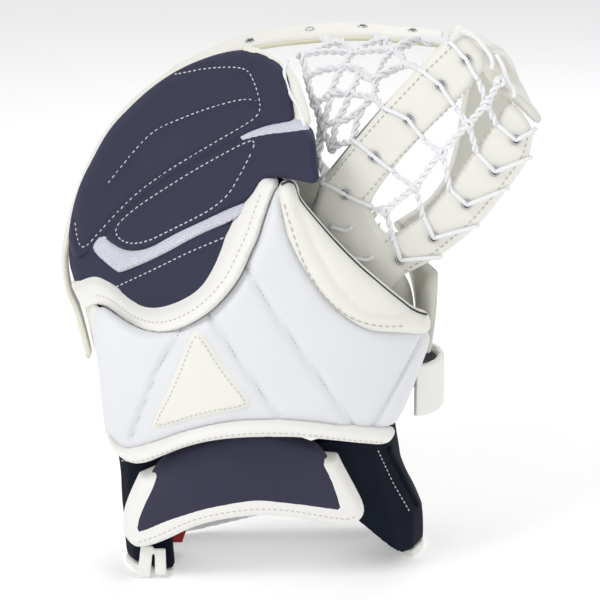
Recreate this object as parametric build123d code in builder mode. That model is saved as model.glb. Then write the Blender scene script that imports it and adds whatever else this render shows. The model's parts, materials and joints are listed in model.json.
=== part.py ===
from build123d import *
import math
import os

# Goalie catch glove, left hand.  Millimetres.  +Z up the glove, -Y out of the
# back of the hand, +Y out of the palm, +X towards the thumb.

# ---------------------------------------------------------------- dimensions
HINGE_X, HINGE_Y, HINGE_Z = 52.4, 8.0, 252.6      # crotch of the glove, on the fold line
EX, EZ = 0.6648, 0.7470                           # fold line direction, seen from the back
NX, NZ = -0.7470, 0.6648                          # across the fold line, towards the fingers
RIM_THICK = 26.0            # glove thickness at the finger rim
HAND_SWELL = 70.0           # extra thickness over the hand
CUFF_RX, CUFF_RY = 132.0, 78.0                    # half width and half depth of the cuff's arc
CUFF_CX = -28.0
PAD = 11.0                  # backhand pad
CUFF_PAD = 14.0             # cuff pad
PALM = 14.0                 # palm leather with its padding
FOAM = 5.5                  # second foam layer
BOARD = 2.0                 # stiff inner board
BINDING_PROUD = 3.0         # rolled binding stands this much proud of its pad
STRAP_T = 8.0               # double-T strap thickness
LACE_R = 1.7                # lace radius
EYELET_R, EYELET_WIRE = 3.1, 0.9
WING = 9.0                  # inner gaiter padding
FLAP = 10.0                 # wrist flap padding
LEAF = 11.0                 # thumb leaf padding
RIM_BAND = 5.0              # rim leather
STALL_R, STALL_WALL = 11.0, 2.0
THUMB_R = 13.0

DRAFT_X, DRAFT_Y = 4.1, -24.8    # the drafting axes, from the middle of the finished glove

os.makedirs("parts", exist_ok=True)


def finish(piece, label):
    """Name a piece, set it on the glove's own origin and write it."""
    piece.part.label = label
    piece.part.location = Location((DRAFT_X, DRAFT_Y, 0))
    export_step(piece.part, "parts/" + label + ".step")


# ------------------------------------------------------- surfaces of the glove
def uv(x, z):
    dx, dz = x - HINGE_X, z - HINGE_Z
    return dx * EX + dz * EZ, dx * NX + dz * NZ


def palm_y(x, z):
    """Outer face of the palm: a shallow bowl about the fold line."""
    u, v = uv(x, z)
    if v > 0:
        y = 24 + 0.0030 * v * v
    else:
        y = 24 + 40 * (1 - math.exp(-v * v / 12800.0))
    edge = 1.0 if v > 0 else math.exp(-((v / 60.0) ** 2))
    return y + 0.0010 * max(0.0, -u - 130) ** 2 * edge


def back_y(x, z):
    """Outer face of the backhand pads."""
    u, v = uv(x, z)
    swell = HAND_SWELL * math.exp(-(((v - 45) / 68.0) ** 2))
    knuckle = 10 * math.exp(-(((u + 90) / 60.0) ** 2) - ((v - 50) / 50.0) ** 2)
    return palm_y(x, z) - RIM_THICK - swell - knuckle


def cuff_y(x, z):
    """Outer face of the cuff."""
    t = min(0.955, abs((x - CUFF_CX) / CUFF_RX))
    y = 8 - CUFF_RY * math.sqrt(1 - t * t)
    if z > 190:
        y += 0.0024 * (z - 190) ** 2
    return y


def strap_y(x, z):
    """Front face of the double-T, bowed out between its base and its top."""
    u, v = uv(x, z)
    s = min(max((u + 50) / 240.0, 0), 1)
    return 2 - 16 * math.sin(math.pi * s) + 0.0022 * v * v + 0.006 * max(0, u - 130) ** 2


def flap_y(x, z):
    """Outer face of the wrist flap."""
    return -52 + 0.0026 * (x + 35) ** 2 - 0.10 * (112 - z)


def shifted(f, d):
    return lambda x, z: f(x, z) + d


def behind(f, pts, depth):
    """Solid of the given depth (along Y) that starts at the surface y = f(x, z)."""
    xs = [p[0] for p in pts]
    zs = [p[1] for p in pts]
    x0, x1, z0, z1 = min(xs) - 6, max(xs) + 6, min(zs) - 6, max(zs) + 6
    nx = max(5, min(17, int((x1 - x0) / 12)))
    nz = max(5, min(17, int((z1 - z0) / 12)))
    grid = [[Vector(x0 + (x1 - x0) * i / nx, f(x0 + (x1 - x0) * i / nx, z0 + (z1 - z0) * j / nz),
                    z0 + (z1 - z0) * j / nz) for j in range(nz + 1)] for i in range(nx + 1)]
    skin = Face.make_surface_from_array_of_points(grid, tol=0.02, min_deg=3, max_deg=3)
    return Solid.extrude(skin, Vector(0, depth, 0))


def grown(pts, d):
    """The same closed outline, moved outwards by d."""
    area = sum(p[0] * q[1] - q[0] * p[1] for p, q in zip(pts, pts[1:] + pts[:1]))
    side = 1.0 if area > 0 else -1.0
    out = []
    for i, p in enumerate(pts):
        a, b = pts[i - 1], pts[(i + 1) % len(pts)]
        e, f = Vector(p[0] - a[0], p[1] - a[1]).normalized(), Vector(b[0] - p[0], b[1] - p[1]).normalized()
        n = Vector(e.Y + f.Y, -e.X - f.X).normalized()
        k = d * side / max(0.5, n.X * e.Y - n.Y * e.X)
        out.append((p[0] + n.X * k, p[1] + n.Y * k))
    return out


def layer(label, pts, front, depth=None, back=None, minus=(), clear=0.25):
    """A panel: an outline in the XZ plane, between the surface `front` and either a
    constant depth or the surface `back`."""
    ahead = behind(front, pts, depth if depth else 240)
    under = behind(shifted(back, -240), pts, 240) if back is not None else None
    with BuildPart() as piece:
        with BuildSketch(Plane.XZ.offset(150)):
            with BuildLine():
                Polyline(*pts, close=True)
            make_face()
            for other in minus:
                with BuildLine():
                    Polyline(*grown(other, clear), close=True)
                make_face(mode=Mode.SUBTRACT)
        extrude(amount=-330)
        add(ahead, mode=Mode.INTERSECT)
        if under is not None:
            add(under, mode=Mode.INTERSECT)
    finish(piece, label)
    return piece


def ribbon(label, stations, thick, rounded=0.0):
    """A strap lofted through rectangles; each station is its two edge points."""
    mids = [(Vector(*a) + Vector(*b)) * 0.5 for a, b in stations]
    with BuildPart() as piece:
        for i, (a, b) in enumerate(stations):
            wide = Vector(*b) - Vector(*a)
            along = mids[min(i + 1, len(mids) - 1)] - mids[max(i - 1, 0)]
            wdir = wide.normalized()
            along = along - wdir * along.dot(wdir)
            with BuildSketch(Plane(origin=mids[i], x_dir=wdir, z_dir=along)):
                if rounded:
                    RectangleRounded(wide.length, thick, rounded)
                else:
                    Rectangle(wide.length, thick)
        loft(ruled=True)
    finish(piece, label)
    return piece


def cords(label, runs_3d, radius, gap=0.0, knots=(), knot_r=2.5):
    """Straight laces between points, with a small knot where they meet."""
    with BuildPart() as piece:
        for a, b in runs_3d:
            d = Vector(*b) - Vector(*a)
            n = d.normalized()
            with BuildSketch(Plane(origin=Vector(*a) + n * gap, z_dir=n)):
                Circle(radius)
            extrude(amount=d.length - 2 * gap)
        for k in knots:
            with Locations(Location(Vector(*k))):
                Sphere(knot_r)
    finish(piece, label)
    return piece


def rings(label, points, radius, wire):
    """Eyelet rings, facing out of the back of the glove."""
    with BuildPart() as piece:
        for p in points:
            with Locations(Plane(origin=p, z_dir=(0, -1, 0)).location):
                Torus(radius, wire)
    finish(piece, label)
    return piece

# ------------------------------------------------------------------- outlines
# Each outline is (x, z), seen from the back of the hand.
BACKHAND = [(-10.0, 363.5), (-24.4, 370.2), (-41.3, 370.8), (-58.4, 366.1), (-78.6, 357.2), (-92.9, 349.1), (-107.4,
    338.9), (-121.8, 326.3), (-136.7, 310.8), (-146.9, 297.4), (-155.0, 282.3), (-162.5, 268.7), (-167.8,
    253.8), (-171.0, 238.3), (-171.1, 223.3), (-169.8, 211.5), (-166.4, 205.2), (-162.2, 199.3), (-156.2,
    203.8), (-147.3, 207.8), (-141.3, 207.4), (-133.6, 205.3), (-124.5, 201.4), (-111.2, 197.9), (-96.7,
    201.0), (-80.0, 209.4), (-66.4, 219.8), (-56.9, 234.3), (-49.1, 252.4), (-41.2, 269.5), (-34.6, 281.8),
    (-29.4, 289.5), (-24.5, 298.0), (-2.5, 299.6), (13.9, 297.9), (10.7, 314.4), (8.8, 331.5), (-3.9, 331.6),
    (-3.9, 336.2), (-6.4, 349.4)]
UPPER_PAD = [(-10.0, 363.5), (-24.4, 370.2), (-41.3, 370.8), (-58.4, 366.1), (-78.6, 357.2), (-92.9, 349.1), (-107.4,
    338.9), (-121.8, 326.3), (-136.7, 310.8), (-146.9, 297.4), (-155.0, 282.3), (-162.5, 268.7), (-167.8,
    253.8), (-171.0, 238.3), (-171.1, 223.3), (-161.3, 223.7), (-148.8, 237.7), (-134.4, 253.7), (-120.0,
    268.4), (-98.5, 285.4), (-77.2, 299.9), (-56.1, 314.2), (-35.2, 326.2), (-3.9, 334.1), (-3.9, 336.2),
    (-6.4, 349.4)]
OVERLAY = [(-144.4, 237.5), (-136.5, 234.2), (-125.9, 231.8), (-109.8, 236.6), (-89.9, 250.2), (-55.0, 271.2), (-36.0,
    281.1), (-29.4, 289.5), (-24.5, 298.0), (-2.5, 299.6), (13.9, 297.9), (10.7, 314.4), (8.8, 331.5), (-5.2,
    327.4), (-28.3, 321.5), (-43.4, 315.6), (-63.1, 304.7), (-86.7, 289.4), (-109.1, 272.9), (-130.2, 255.3)]
MESH = [(-144.4, 238.8), (-155.8, 227.9), (-132.7, 217.6), (-128.2, 218.6), (-100.9, 234.2), (-71.4, 254.4), (-41.3,
    270.6), (-36.0, 281.1), (-55.0, 271.2), (-89.9, 250.2), (-109.8, 236.6), (-125.9, 231.8), (-136.5, 234.2)]
BACK_BINDING = [(-168.6, 202.2), (-162.2, 193.8), (-157.0, 188.4), (-148.1, 194.1), (-137.8, 194.5), (-125.6, 190.1),
    (-113.8, 187.8), (-98.6, 189.1), (-81.9, 195.8), (-63.7, 208.8), (-51.3, 222.0), (-42.4, 234.3), (-35.4,
    249.2), (-30.1, 259.1), (-26.4, 269.9), (-19.8, 286.8), (-14.5, 295.6), (-27.4, 298.4), (-31.6, 291.5),
    (-36.8, 283.8), (-43.4, 271.5), (-51.3, 254.4), (-59.1, 236.3), (-68.6, 221.8), (-82.2, 211.4), (-98.9,
    203.0), (-113.4, 199.9), (-126.7, 203.4), (-135.8, 207.3), (-143.5, 209.4), (-149.5, 209.8), (-158.4,
    205.8), (-164.4, 201.3)]
INDEX_EDGE = [(-41.5, 373.5), (-27.4, 372.7), (-10.0, 367.0), (-2.8, 358.2), (0.7, 351.5), (4.2, 343.6), (8.2, 331.6),
    (-3.9, 330.6), (-3.9, 335.2), (-6.4, 348.4), (-10.0, 362.6), (-24.5, 369.3), (-41.4, 369.9)]
PALM_FINGERS = [(51.0, 264.6), (9.5, 300.0), (5.0, 325.0), (-3.0, 349.0), (-16.0, 362.0), (-43.6, 364.5), (-64.7, 355.3),
    (-88.3, 341.7), (-118.4, 319.1), (-143.1, 290.1), (-160.4, 254.6), (-169.0, 218.4), (-170.3, 203.0),
    (-166.8, 193.4), (-161.9, 185.7), (-157.1, 173.7), (-152.0, 150.0), (-143.0, 128.0), (-112.0, 112.0),
    (-80.0, 107.0), (-80.6, 116.6)]
PALM_THUMB = [(58.6, 257.8), (55.7, 244.3), (66.0, 226.0), (72.0, 218.0), (80.0, 205.0), (83.0, 185.0), (83.0, 165.0),
    (80.0, 150.0), (70.0, 128.0), (52.0, 112.0), (20.0, 104.0), (-40.0, 102.0), (-70.0, 104.0), (-74.3,
    108.4)]
BACKHAND_CLEAR = [(-169.9, 201.2), (-163.4, 192.8), (-157.0, 186.8), (-147.6, 192.6), (-138.1, 192.9), (-126.0, 188.6),
    (-113.9, 186.2), (-98.2, 187.5), (-81.1, 194.4), (-62.7, 207.6), (-50.1, 221.0), (-41.0, 233.5), (-34.0,
    248.5), (-28.6, 258.5), (-24.9, 269.3), (-18.3, 286.1), (-13.1, 294.8), (-13.5, 296.5), (-20.0, 320.0),
    (-180.0, 320.0), (-180.0, 205.0)]         # the backhand and room for it to swing
CUFF = [(-14.2, 292.7), (-17.5, 287.0), (-24.1, 269.6), (-27.9, 258.3), (-33.2, 248.3), (-40.2, 232.7), (-49.3,
    220.1), (-62.3, 206.5), (-80.8, 194.0), (-97.8, 188.7), (-110.4, 188.4), (-121.2, 192.1), (-131.8, 197.4),
    (-139.3, 201.1), (-145.1, 198.4), (-147.4, 176.3), (-143.8, 158.5), (-142.3, 140.0), (-140.7, 121.4),
    (-140.0, 111.5), (-129.5, 100.4), (-116.2, 103.2), (-97.5, 112.6), (-79.1, 122.0), (-52.0, 129.2), (-25.1,
    131.5), (1.6, 129.9), (28.6, 124.3), (65.1, 116.6), (73.3, 128.2), (78.7, 140.2), (84.2, 153.9), (88.4,
    164.0), (90.7, 169.0), (92.5, 175.9), (90.4, 182.6), (68.0, 189.5), (51.7, 192.0), (39.0, 198.8), (24.7,
    210.8), (12.3, 225.7), (1.6, 241.7), (-7.2, 258.9), (-9.1, 265.2), (-13.1, 282.7)]
CUFF_BINDING = [(-139.9, 113.0), (-129.5, 100.4), (-116.2, 103.2), (-97.5, 112.6), (-79.1, 122.0), (-52.0, 129.2), (-25.1,
    131.5), (1.6, 129.9), (28.6, 124.3), (65.1, 116.6), (66.9, 112.0), (61.5, 106.2), (43.1, 110.5), (19.6,
    115.6), (-7.3, 119.0), (-32.3, 119.3), (-57.5, 116.7), (-79.2, 110.7), (-97.7, 101.2), (-110.7, 93.6),
    (-122.0, 91.6), (-132.5, 96.8), (-138.1, 106.8)]
CUFF_PLATE = [(-134.0, 181.3), (-106.0, 176.3), (-77.3, 181.3), (-45.4, 204.3), (-26.5, 239.2), (-19.5, 255.9), (0.0,
    221.6), (35.2, 183.8), (71.2, 171.6), (60.6, 136.3), (42.6, 129.9), (-28.2, 138.9), (-85.0, 129.1),
    (-125.5, 115.9), (-135.0, 132.5)]
THUMB_COVER = [(-15.1, 292.8), (-13.1, 282.7), (-9.1, 265.2), (-7.2, 258.9), (1.6, 241.7), (12.3, 225.7), (24.7, 210.8),
    (39.0, 198.8), (51.7, 192.0), (68.0, 189.5), (90.4, 182.6), (93.0, 186.1), (90.6, 196.5), (80.7, 201.4),
    (70.4, 211.5), (55.4, 225.5), (40.5, 239.4), (24.8, 255.6), (11.2, 271.0), (-1.4, 285.5), (-1.5, 290.5),
    (-3.4, 295.0), (-8.3, 296.9)]
THUMB_WALL = [(-11.2, 284.7), (-9.8, 290.5), (-5.6, 290.5), (-3.5, 281.3), (9.1, 266.6), (23.1, 250.9), (39.2, 234.5),
    (54.2, 220.6), (69.4, 206.3), (78.2, 198.1), (72.4, 192.0), (60.8, 196.9), (46.9, 201.0), (32.9, 214.3),
    (21.1, 230.7), (11.2, 249.3), (4.4, 264.5), (-5.6, 274.2)]
PATCH = [(-75.0, 193.5), (-72.2, 196.2), (-68.7, 194.6), (-52.2, 169.3), (-34.9, 145.7), (-35.6, 142.0), (-70.0,
    134.2), (-102.3, 121.5), (-104.4, 124.2), (-91.0, 153.7)]
T_LEFT = [(29.2, 227.4), (8.0, 252.2), (8.0, 265.3), (11.5, 272.8), (15.3, 287.5), (23.5, 298.7), (40.9, 320.7), (58.2,
    342.2), (81.3, 366.7), (102.1, 388.4), (132.4, 374.7), (121.9, 361.3), (108.0, 346.5), (87.3, 325.5),
    (67.8, 302.9), (51.7, 279.6), (49.4, 272.2), (50.6, 263.6), (54.2, 256.6)]
T_RIGHT = [(30.6, 226.4), (55.6, 254.5), (63.8, 249.6), (70.8, 251.6), (87.0, 263.0), (104.3, 283.9), (114.5, 298.3),
    (128.2, 318.3), (139.7, 334.5), (146.6, 345.2), (155.0, 338.8), (164.7, 324.3), (160.6, 302.9), (145.7,
    281.6), (123.9, 253.6), (99.5, 233.7), (96.8, 232.5), (81.9, 223.9), (71.9, 218.4), (59.1, 199.9)]
FLAP_OUT = [(-109.6, 90.3), (-123.2, 61.1), (-127.6, 45.4), (-127.3, 34.1), (-121.8, 26.5), (-114.2, 25.8), (-99.1,
    32.5), (-76.7, 46.0), (-54.7, 52.8), (-29.2, 55.9), (-7.4, 54.3), (14.5, 48.2), (34.7, 43.1), (43.9,
    46.5), (45.7, 54.7), (38.3, 70.7), (29.0, 88.6), (24.3, 100.0)]
FLAP_IN = [(-100.8, 93.2), (-114.5, 62.6), (-120.3, 46.7), (-121.2, 39.0), (-119.3, 34.8), (-111.4, 36.4), (-99.3,
    42.1), (-84.4, 50.4), (-62.0, 60.0), (-34.7, 64.3), (-7.4, 62.7), (18.1, 56.2), (31.0, 53.0), (35.5,
    54.2), (17.1, 103.3), (0.0, 110.7), (-21.3, 117.3), (-46.1, 117.3), (-71.1, 108.4), (-85.5, 101.6)]

# ----------------------------------------------------------- backhand (fingers)
layer("backhand_upper_pad", UPPER_PAD, back_y, PAD, minus=[OVERLAY])
layer("backhand_overlay", OVERLAY, shifted(back_y, -2.0), PAD + 2.0)
layer("backhand_mesh", MESH, shifted(back_y, 1.5), PAD - 1.5, minus=[OVERLAY, UPPER_PAD])
layer("backhand_lower_pad", BACKHAND, back_y, PAD, minus=[OVERLAY, MESH, UPPER_PAD])
layer("backhand_binding", BACK_BINDING, shifted(back_y, -BINDING_PROUD), PAD + 6.0, minus=[BACKHAND, OVERLAY])
layer("index_edge_wall", INDEX_EDGE, shifted(back_y, 3.0), back=shifted(palm_y, -PALM - 0.4), minus=[BACKHAND, UPPER_PAD, OVERLAY])

# ------------------------------------------------------------- palm, both sides
layer("palm_fingers", PALM_FINGERS, shifted(palm_y, -PALM), PALM)
layer("palm_foam_fingers", [(14.0, 230.5), (-17.4, 258.4), (-35.6, 304.1), (-60.0, 330.0), (-110.0, 300.0), (-140.0, 262.0), (-148.0,
    220.0), (-140.0, 160.0), (-110.0, 130.0), (-74.4, 131.2)], shifted(palm_y, -PALM - FOAM - 0.3), FOAM)
layer("finger_board", [(5.5, 230.0), (-24.3, 256.6), (-37.9, 295.5), (-66.0, 318.0), (-108.0, 288.0), (-132.0, 255.0), (-138.0,
    220.0), (-130.0, 170.0), (-105.0, 140.0), (-74.2, 140.4)], shifted(palm_y, -PALM - FOAM - BOARD - 0.6), BOARD)
layer("palm_thumb", PALM_THUMB, shifted(palm_y, -PALM), PALM)
layer("palm_foam_thumb", [(21.1, 205.4), (50.0, 190.0), (70.0, 184.0), (72.0, 165.0), (62.0, 135.0), (45.0, 122.0), (10.0, 116.0),
    (-40.0, 114.0), (-60.0, 114.3)], shifted(palm_y, -PALM - FOAM - 0.3), FOAM)
layer("thumb_board", [(23.0, 198.5), (46.0, 186.0), (62.0, 180.0), (62.0, 165.0), (55.0, 142.0), (40.0, 130.0), (8.0, 124.0),
    (-35.0, 122.0), (-48.8, 117.8)], shifted(palm_y, -PALM - FOAM - BOARD - 0.6), BOARD)
layer("palm_break", [(52.0, 263.6), (57.7, 258.6), (-73.9, 110.7), (-78.3, 117.2)], shifted(palm_y, -11.0), 8.0)

# ------------------------------------------------------------------------ cuff
layer("cuff_pad", CUFF, cuff_y, CUFF_PAD, minus=[BACKHAND_CLEAR])
layer("cuff_patch", PATCH, shifted(cuff_y, -2.5), 2.2)
layer("cuff_board", CUFF_PLATE, shifted(cuff_y, CUFF_PAD + 0.3), BOARD)
layer("cuff_bottom_binding", CUFF_BINDING, shifted(cuff_y, -BINDING_PROUD), CUFF_PAD + 5.0, minus=[CUFF])
layer("thumb_cover", THUMB_COVER, shifted(cuff_y, -6.0), CUFF_PAD + 6.0, minus=[CUFF])
layer("thumb_wall", THUMB_WALL, shifted(cuff_y, CUFF_PAD + 0.3), back=lambda x, z: -11.0)
ribbon("thumb_side_panel", [((91, -7, 163), (88, 44, 160)), ((94, -6, 180), (89, 42, 178)),
                            ((97, -1, 202), (85, 38, 205)), ((98, 8, 218), (75, 37, 231))], 8.0)

# ---------------------------------------------------------------------- thumb
LEAF_FREE = [(71.5, 38.0, 246.2), (96.0, 62.0, 255.7), (111.5, 80.0, 271.4), (118.6, 92.0, 291.7), (123.1, 98.0, 317.1),
    (125.9, 101.0, 336.9), (133.8, 100.0, 350.6)]
LEAF_BASE = [(98.3, 14.0, 228.2), (110.2, 24.0, 239.1), (129.8, 40.0, 261.5), (143.5, 55.0, 288.1), (152.6, 66.0, 313.5),
    (156.1, 78.0, 333.6), (151.6, 90.0, 346.4)]


def inset(a, b, d):
    return tuple(Vector(*a) + (Vector(*b) - Vector(*a)).normalized() * d)


ribbon("thumb_leaf", [(inset(f, b, 5.8), b) for f, b in zip(LEAF_FREE, LEAF_BASE)], LEAF)
with BuildPart() as thumb_rim_binding:
    for i, p in enumerate(LEAF_FREE):
        q = LEAF_FREE[min(i + 1, len(LEAF_FREE) - 1)]
        o = LEAF_FREE[max(i - 1, 0)]
        with BuildSketch(Plane(origin=p, z_dir=Vector(*q) - Vector(*o))):
            Circle(4.2)
    loft(ruled=True)
finish(thumb_rim_binding, "thumb_rim_binding")

# --------------------------------------------------------------------- fingers
ribbon("finger_rim", [((-155.8, 28.6, 149.8), (-158.3, 54.6, 150.8)), ((-162.1, 38.4, 172.7), (-164.6, 64.4, 173.7)), ((-166.9,
    45.6, 184.7), (-169.4, 71.6, 185.7)), ((-171.8, 51.9, 192.4), (-174.3, 77.9, 193.4)), ((-175.3, 66.2,
    208.5), (-177.8, 87.7, 209.5)), ((-174.0, 76.1, 223.9), (-176.5, 94.7, 224.9)), ((-163.9, 93.5, 260.1),
    (-166.4, 108.8, 261.1)), ((-146.6, 105.8, 295.6), (-149.1, 119.9, 296.6)), ((-121.9, 106.7, 324.6),
    (-124.4, 120.8, 325.6)), ((-91.8, 98.1, 347.2), (-94.3, 113.0, 348.2)), ((-93.2, 90.0, 344.9), (-94.5,
    118.0, 349.2)), ((-70.3, 94.0, 356.2), (-71.3, 121.0, 360.3)), ((-43.7, 96.0, 366.3), (-44.2, 122.0,
    372.4)), ((-18.5, 96.0, 371.5), (-22.5, 122.0, 377.4)), ((0.0, 95.0, 373.4), (6.0, 121.0, 380.8)), ((24.3,
    93.0, 376.1), (29.9, 119.0, 382.3)), ((48.6, 90.0, 377.3), (53.0, 116.0, 381.4)), ((75.7, 85.0, 375.6),
    (84.1, 111.0, 379.6)), ((104.8, 80.0, 373.3), (106.2, 106.0, 377.4))], RIM_BAND)

def stall_plane(lo, hi):
    return Plane(origin=lo, z_dir=Vector(*hi) - Vector(*lo))


def stall_side(k, radius, wall_t):
    """One of the six side panels of a stall, as an outline across the finger."""
    a, b = 60 * k + 1.2, 60 * k + 58.8
    out = []
    for ang, r in ((a, radius), (b, radius), (b, radius - wall_t), (a, radius - wall_t)):
        out.append((r * math.cos(math.radians(ang)), r * math.sin(math.radians(ang))))
    return out


with BuildPart() as finger_stalls:
    for u in (-44, -67, -90, -113):
        lo = (HINGE_X + u * EX + 34 * NX, back_y(HINGE_X + u * EX + 34 * NX, HINGE_Z + u * EZ + 34 * NZ) + 44,
              HINGE_Z + u * EZ + 34 * NZ)
        hi = (HINGE_X + u * EX + 88 * NX, back_y(HINGE_X + u * EX + 88 * NX, HINGE_Z + u * EZ + 88 * NZ) + 31,
              HINGE_Z + u * EZ + 88 * NZ)
        d = Vector(*hi) - Vector(*lo)
        for k in range(6):
            with BuildSketch(stall_plane(lo, hi)):
                with BuildLine():
                    Polyline(*stall_side(k, STALL_R, STALL_WALL), close=True)
                make_face()
            extrude(amount=d.length - 3)
        with BuildSketch(stall_plane(Vector(*lo) + d.normalized() * (d.length - 2.7), Vector(*hi) + d)):
            RegularPolygon(STALL_R, 6)
        extrude(amount=2.7)
finish(finger_stalls, "finger_stalls")

with BuildPart() as thumb_stall:
    lo, hi = Vector(10, -18, 162), Vector(60, -10, 178)
    d = hi - lo
    for k in range(6):
        with BuildSketch(Plane(origin=lo, z_dir=d)):
            with BuildLine():
                Polyline(*stall_side(k, THUMB_R, STALL_WALL), close=True)
            make_face()
        extrude(amount=d.length - 3)
    with BuildSketch(Plane(origin=lo + d.normalized() * (d.length - 2.7), z_dir=d)):
        RegularPolygon(THUMB_R, 6)
    extrude(amount=2.7)
finish(thumb_stall, "thumb_stall")

# ------------------------------------------------------------------- double-T
layer("t_strap_fingers", T_LEFT, strap_y, STRAP_T)
layer("t_strap_thumb", T_RIGHT, strap_y, STRAP_T)
ribbon("t_crossbar", [((104.0, 1.5, 393.0), (134.5, 1.5, 380.0)), ((108.0, 14.0, 396.5), (138.0, 12.0, 379.0)), ((113.0, 34.0,
    393.0), (145.0, 31.0, 375.0)), ((119.0, 54.0, 383.0), (152.0, 50.0, 366.0)), ((126.0, 64.0, 370.0),
    (158.0, 58.0, 354.0)), ((134.0, 58.0, 356.0), (163.0, 52.0, 343.0)), ((141.0, 38.0, 350.0), (167.0, 34.0,
    334.0)), ((149.0, 14.0, 350.0), (170.0, 12.0, 331.0)), ((150.5, -1.0, 350.5), (169.5, -1.0, 331.0))], 6.0)
EYES_F = [(32.3, -6.5, 280.0), (52.0, -9.8, 308.3), (75.7, -10.8, 335.2), (98.1, -8.9, 359.0), (116.0, -5.7, 376.6)]
EYES_T = [(71.7, -5.5, 231.9), (95.0, -8.8, 249.1), (118.0, -11.2, 273.9), (137.5, -11.0, 297.8), (151.8, -9.2, 320.0)]
rings("t_eyelets_fingers", [(x, y - 1.8, z) for x, y, z in EYES_F], EYELET_R, EYELET_WIRE)
rings("t_eyelets_thumb", [(x, y - 1.8, z) for x, y, z in EYES_T], EYELET_R, EYELET_WIRE)

NET = {"n0": (0.3, 52, 369.8), "n1": (5.4, 42, 356.2), "n2": (10.4, 30, 338.0), "n3": (15.4, 20, 322.5), "n4":
    (12.1, 12, 303.0), "n5": (16.3, -1, 287.6), "m0": (27.1, 76, 375.5), "m1": (38.5, 64, 370.1), "m2": (63.7,
    80, 376.3), "m3": (68.3, 64, 371.5), "m4": (89.5, 82, 377.4), "p1": (31.0, 44, 362.4), "p2": (43.1, 40,
    360.2), "p3": (53.7, 32, 355.8), "p4": (75.0, 30, 366.3), "q1": (21.5, 28, 344.9), "q2": (35.7, 24,
    346.4), "q3": (51.9, 14, 346.0), "r1": (16.4, 18, 324.3), "r2": (25.7, 16, 326.9), "r3": (42.0, 13,
    335.4), "s1": (22.8, 7, 309.8), "t2": (37.4, -4, 317.8), "t3": (58.4, -6, 341.9), "t4": (83.4, -5, 368.7),
    "t5": (103.5, -4, 388.3), "e1": (15.5, 91.9, 376.7), "e2": (55.5, 89.7, 377.8), "e3": (96.4, 69.3, 375.7)}
FINGER_NET = [("n0", "n1"), ("n1", "n2"), ("n2", "n3"), ("n3", "n4"), ("n0", "m0"), ("n0", "m1"), ("m0", "m1"), ("m1",
    "m3"), ("m3", "m2"), ("m3", "m4"), ("m1", "p1"), ("n1", "p1"), ("p1", "p2"), ("p2", "p3"), ("m3", "p3"),
    ("m3", "p4"), ("p3", "p4"), ("p1", "q1"), ("n2", "q1"), ("q1", "q2"), ("p2", "q2"), ("q2", "q3"), ("p3",
    "q3"), ("q1", "r1"), ("q2", "r2"), ("r1", "r2"), ("r2", "r3"), ("q3", "r3"), ("r1", "s1"), ("r2", "s1"),
    ("e1", "m0"), ("e2", "m2"), ("e3", "m4")]
cords("net_fingers", [(NET[a], NET[b]) for a, b in FINGER_NET], LACE_R, gap=2.9,
      knots=[NET[k] for k in sorted({k for e in FINGER_NET for k in e}) if k[0] in "mpqrs"])
CHAIN = [(60.0, -15.0, 270.1), (80.8, -17.7, 287.5), (99.1, -18.5, 312.7), (117.5, -17.1, 332.5), (130.2, -15.0,
    346.3), (139.4, -11.7, 362.0)]
CHAIN_LINKS = [((50.5, -8.6, 270.8), (60.0, -15.0, 270.1)), ((65.7, -10.6, 296.7), (80.8, -17.7, 287.5)), ((86.4, -12.6,
    321.0), (99.1, -18.5, 312.7)), ((109.5, -12.6, 342.4), (117.5, -17.1, 332.5)), ((124.8, -10.6, 361.8),
    (130.2, -15.0, 346.3)), ((60.0, -15.0, 270.1), (66.3, -9.6, 247.0)), ((80.8, -17.7, 287.5), (87.2, -11.6,
    264.5)), ((99.1, -18.5, 312.7), (105.7, -13.6, 284.2)), ((117.5, -17.1, 332.5), (123.9, -13.6, 311.7)),
    ((130.2, -15.0, 346.3), (137.6, -12.6, 331.7))]
cords("net_centre", [(CHAIN[i], CHAIN[i + 1]) for i in range(len(CHAIN) - 1)]
      + CHAIN_LINKS, LACE_R, gap=2.9, knots=CHAIN)
cords("net_thumb", [((99.0, 4.0, 236.0), (103.0, 12.0, 240.0)), ((124.0, 3.0, 257.0), (127.0, 30.0, 262.0)), ((147.0, 3.0,
    285.0), (143.0, 44.0, 286.0)), ((160.0, 3.0, 306.0), (151.0, 56.0, 310.0)), ((164.0, 3.0, 322.0), (157.0,
    68.0, 330.0))], LACE_R)

# ----------------------------------------------------------------- wrist gaiter
def gaiter(label, sections, keep=None, thick=WING):
    """Padded wing of the wrist gaiter: open C sections, one above the other."""
    with BuildPart() as piece:
        for z, pts in sections:
            with BuildSketch(Plane.XY.offset(z)):
                with BuildLine():
                    Polyline(*pts)
                    Polyline(*wall(pts, thick))
                    Line(pts[0], wall(pts, thick)[0])
                    Line(pts[-1], wall(pts, thick)[-1])
                make_face()
        loft(ruled=True)
        if keep is not None:
            with BuildSketch(Plane.XZ.offset(150)):
                with BuildLine():
                    Polyline(*keep, close=True)
                make_face()
            extrude(amount=-330, mode=Mode.INTERSECT)
    finish(piece, label)
    return piece


def wall(pts, t):
    """The same line moved inwards by t."""
    out = []
    for i, p in enumerate(pts):
        a, b = Vector(*pts[max(i - 1, 0)]), Vector(*pts[min(i + 1, len(pts) - 1)])
        d = (b - a).normalized()
        out.append((p[0] + d.Y * t, p[1] - d.X * t))
    return out


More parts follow.
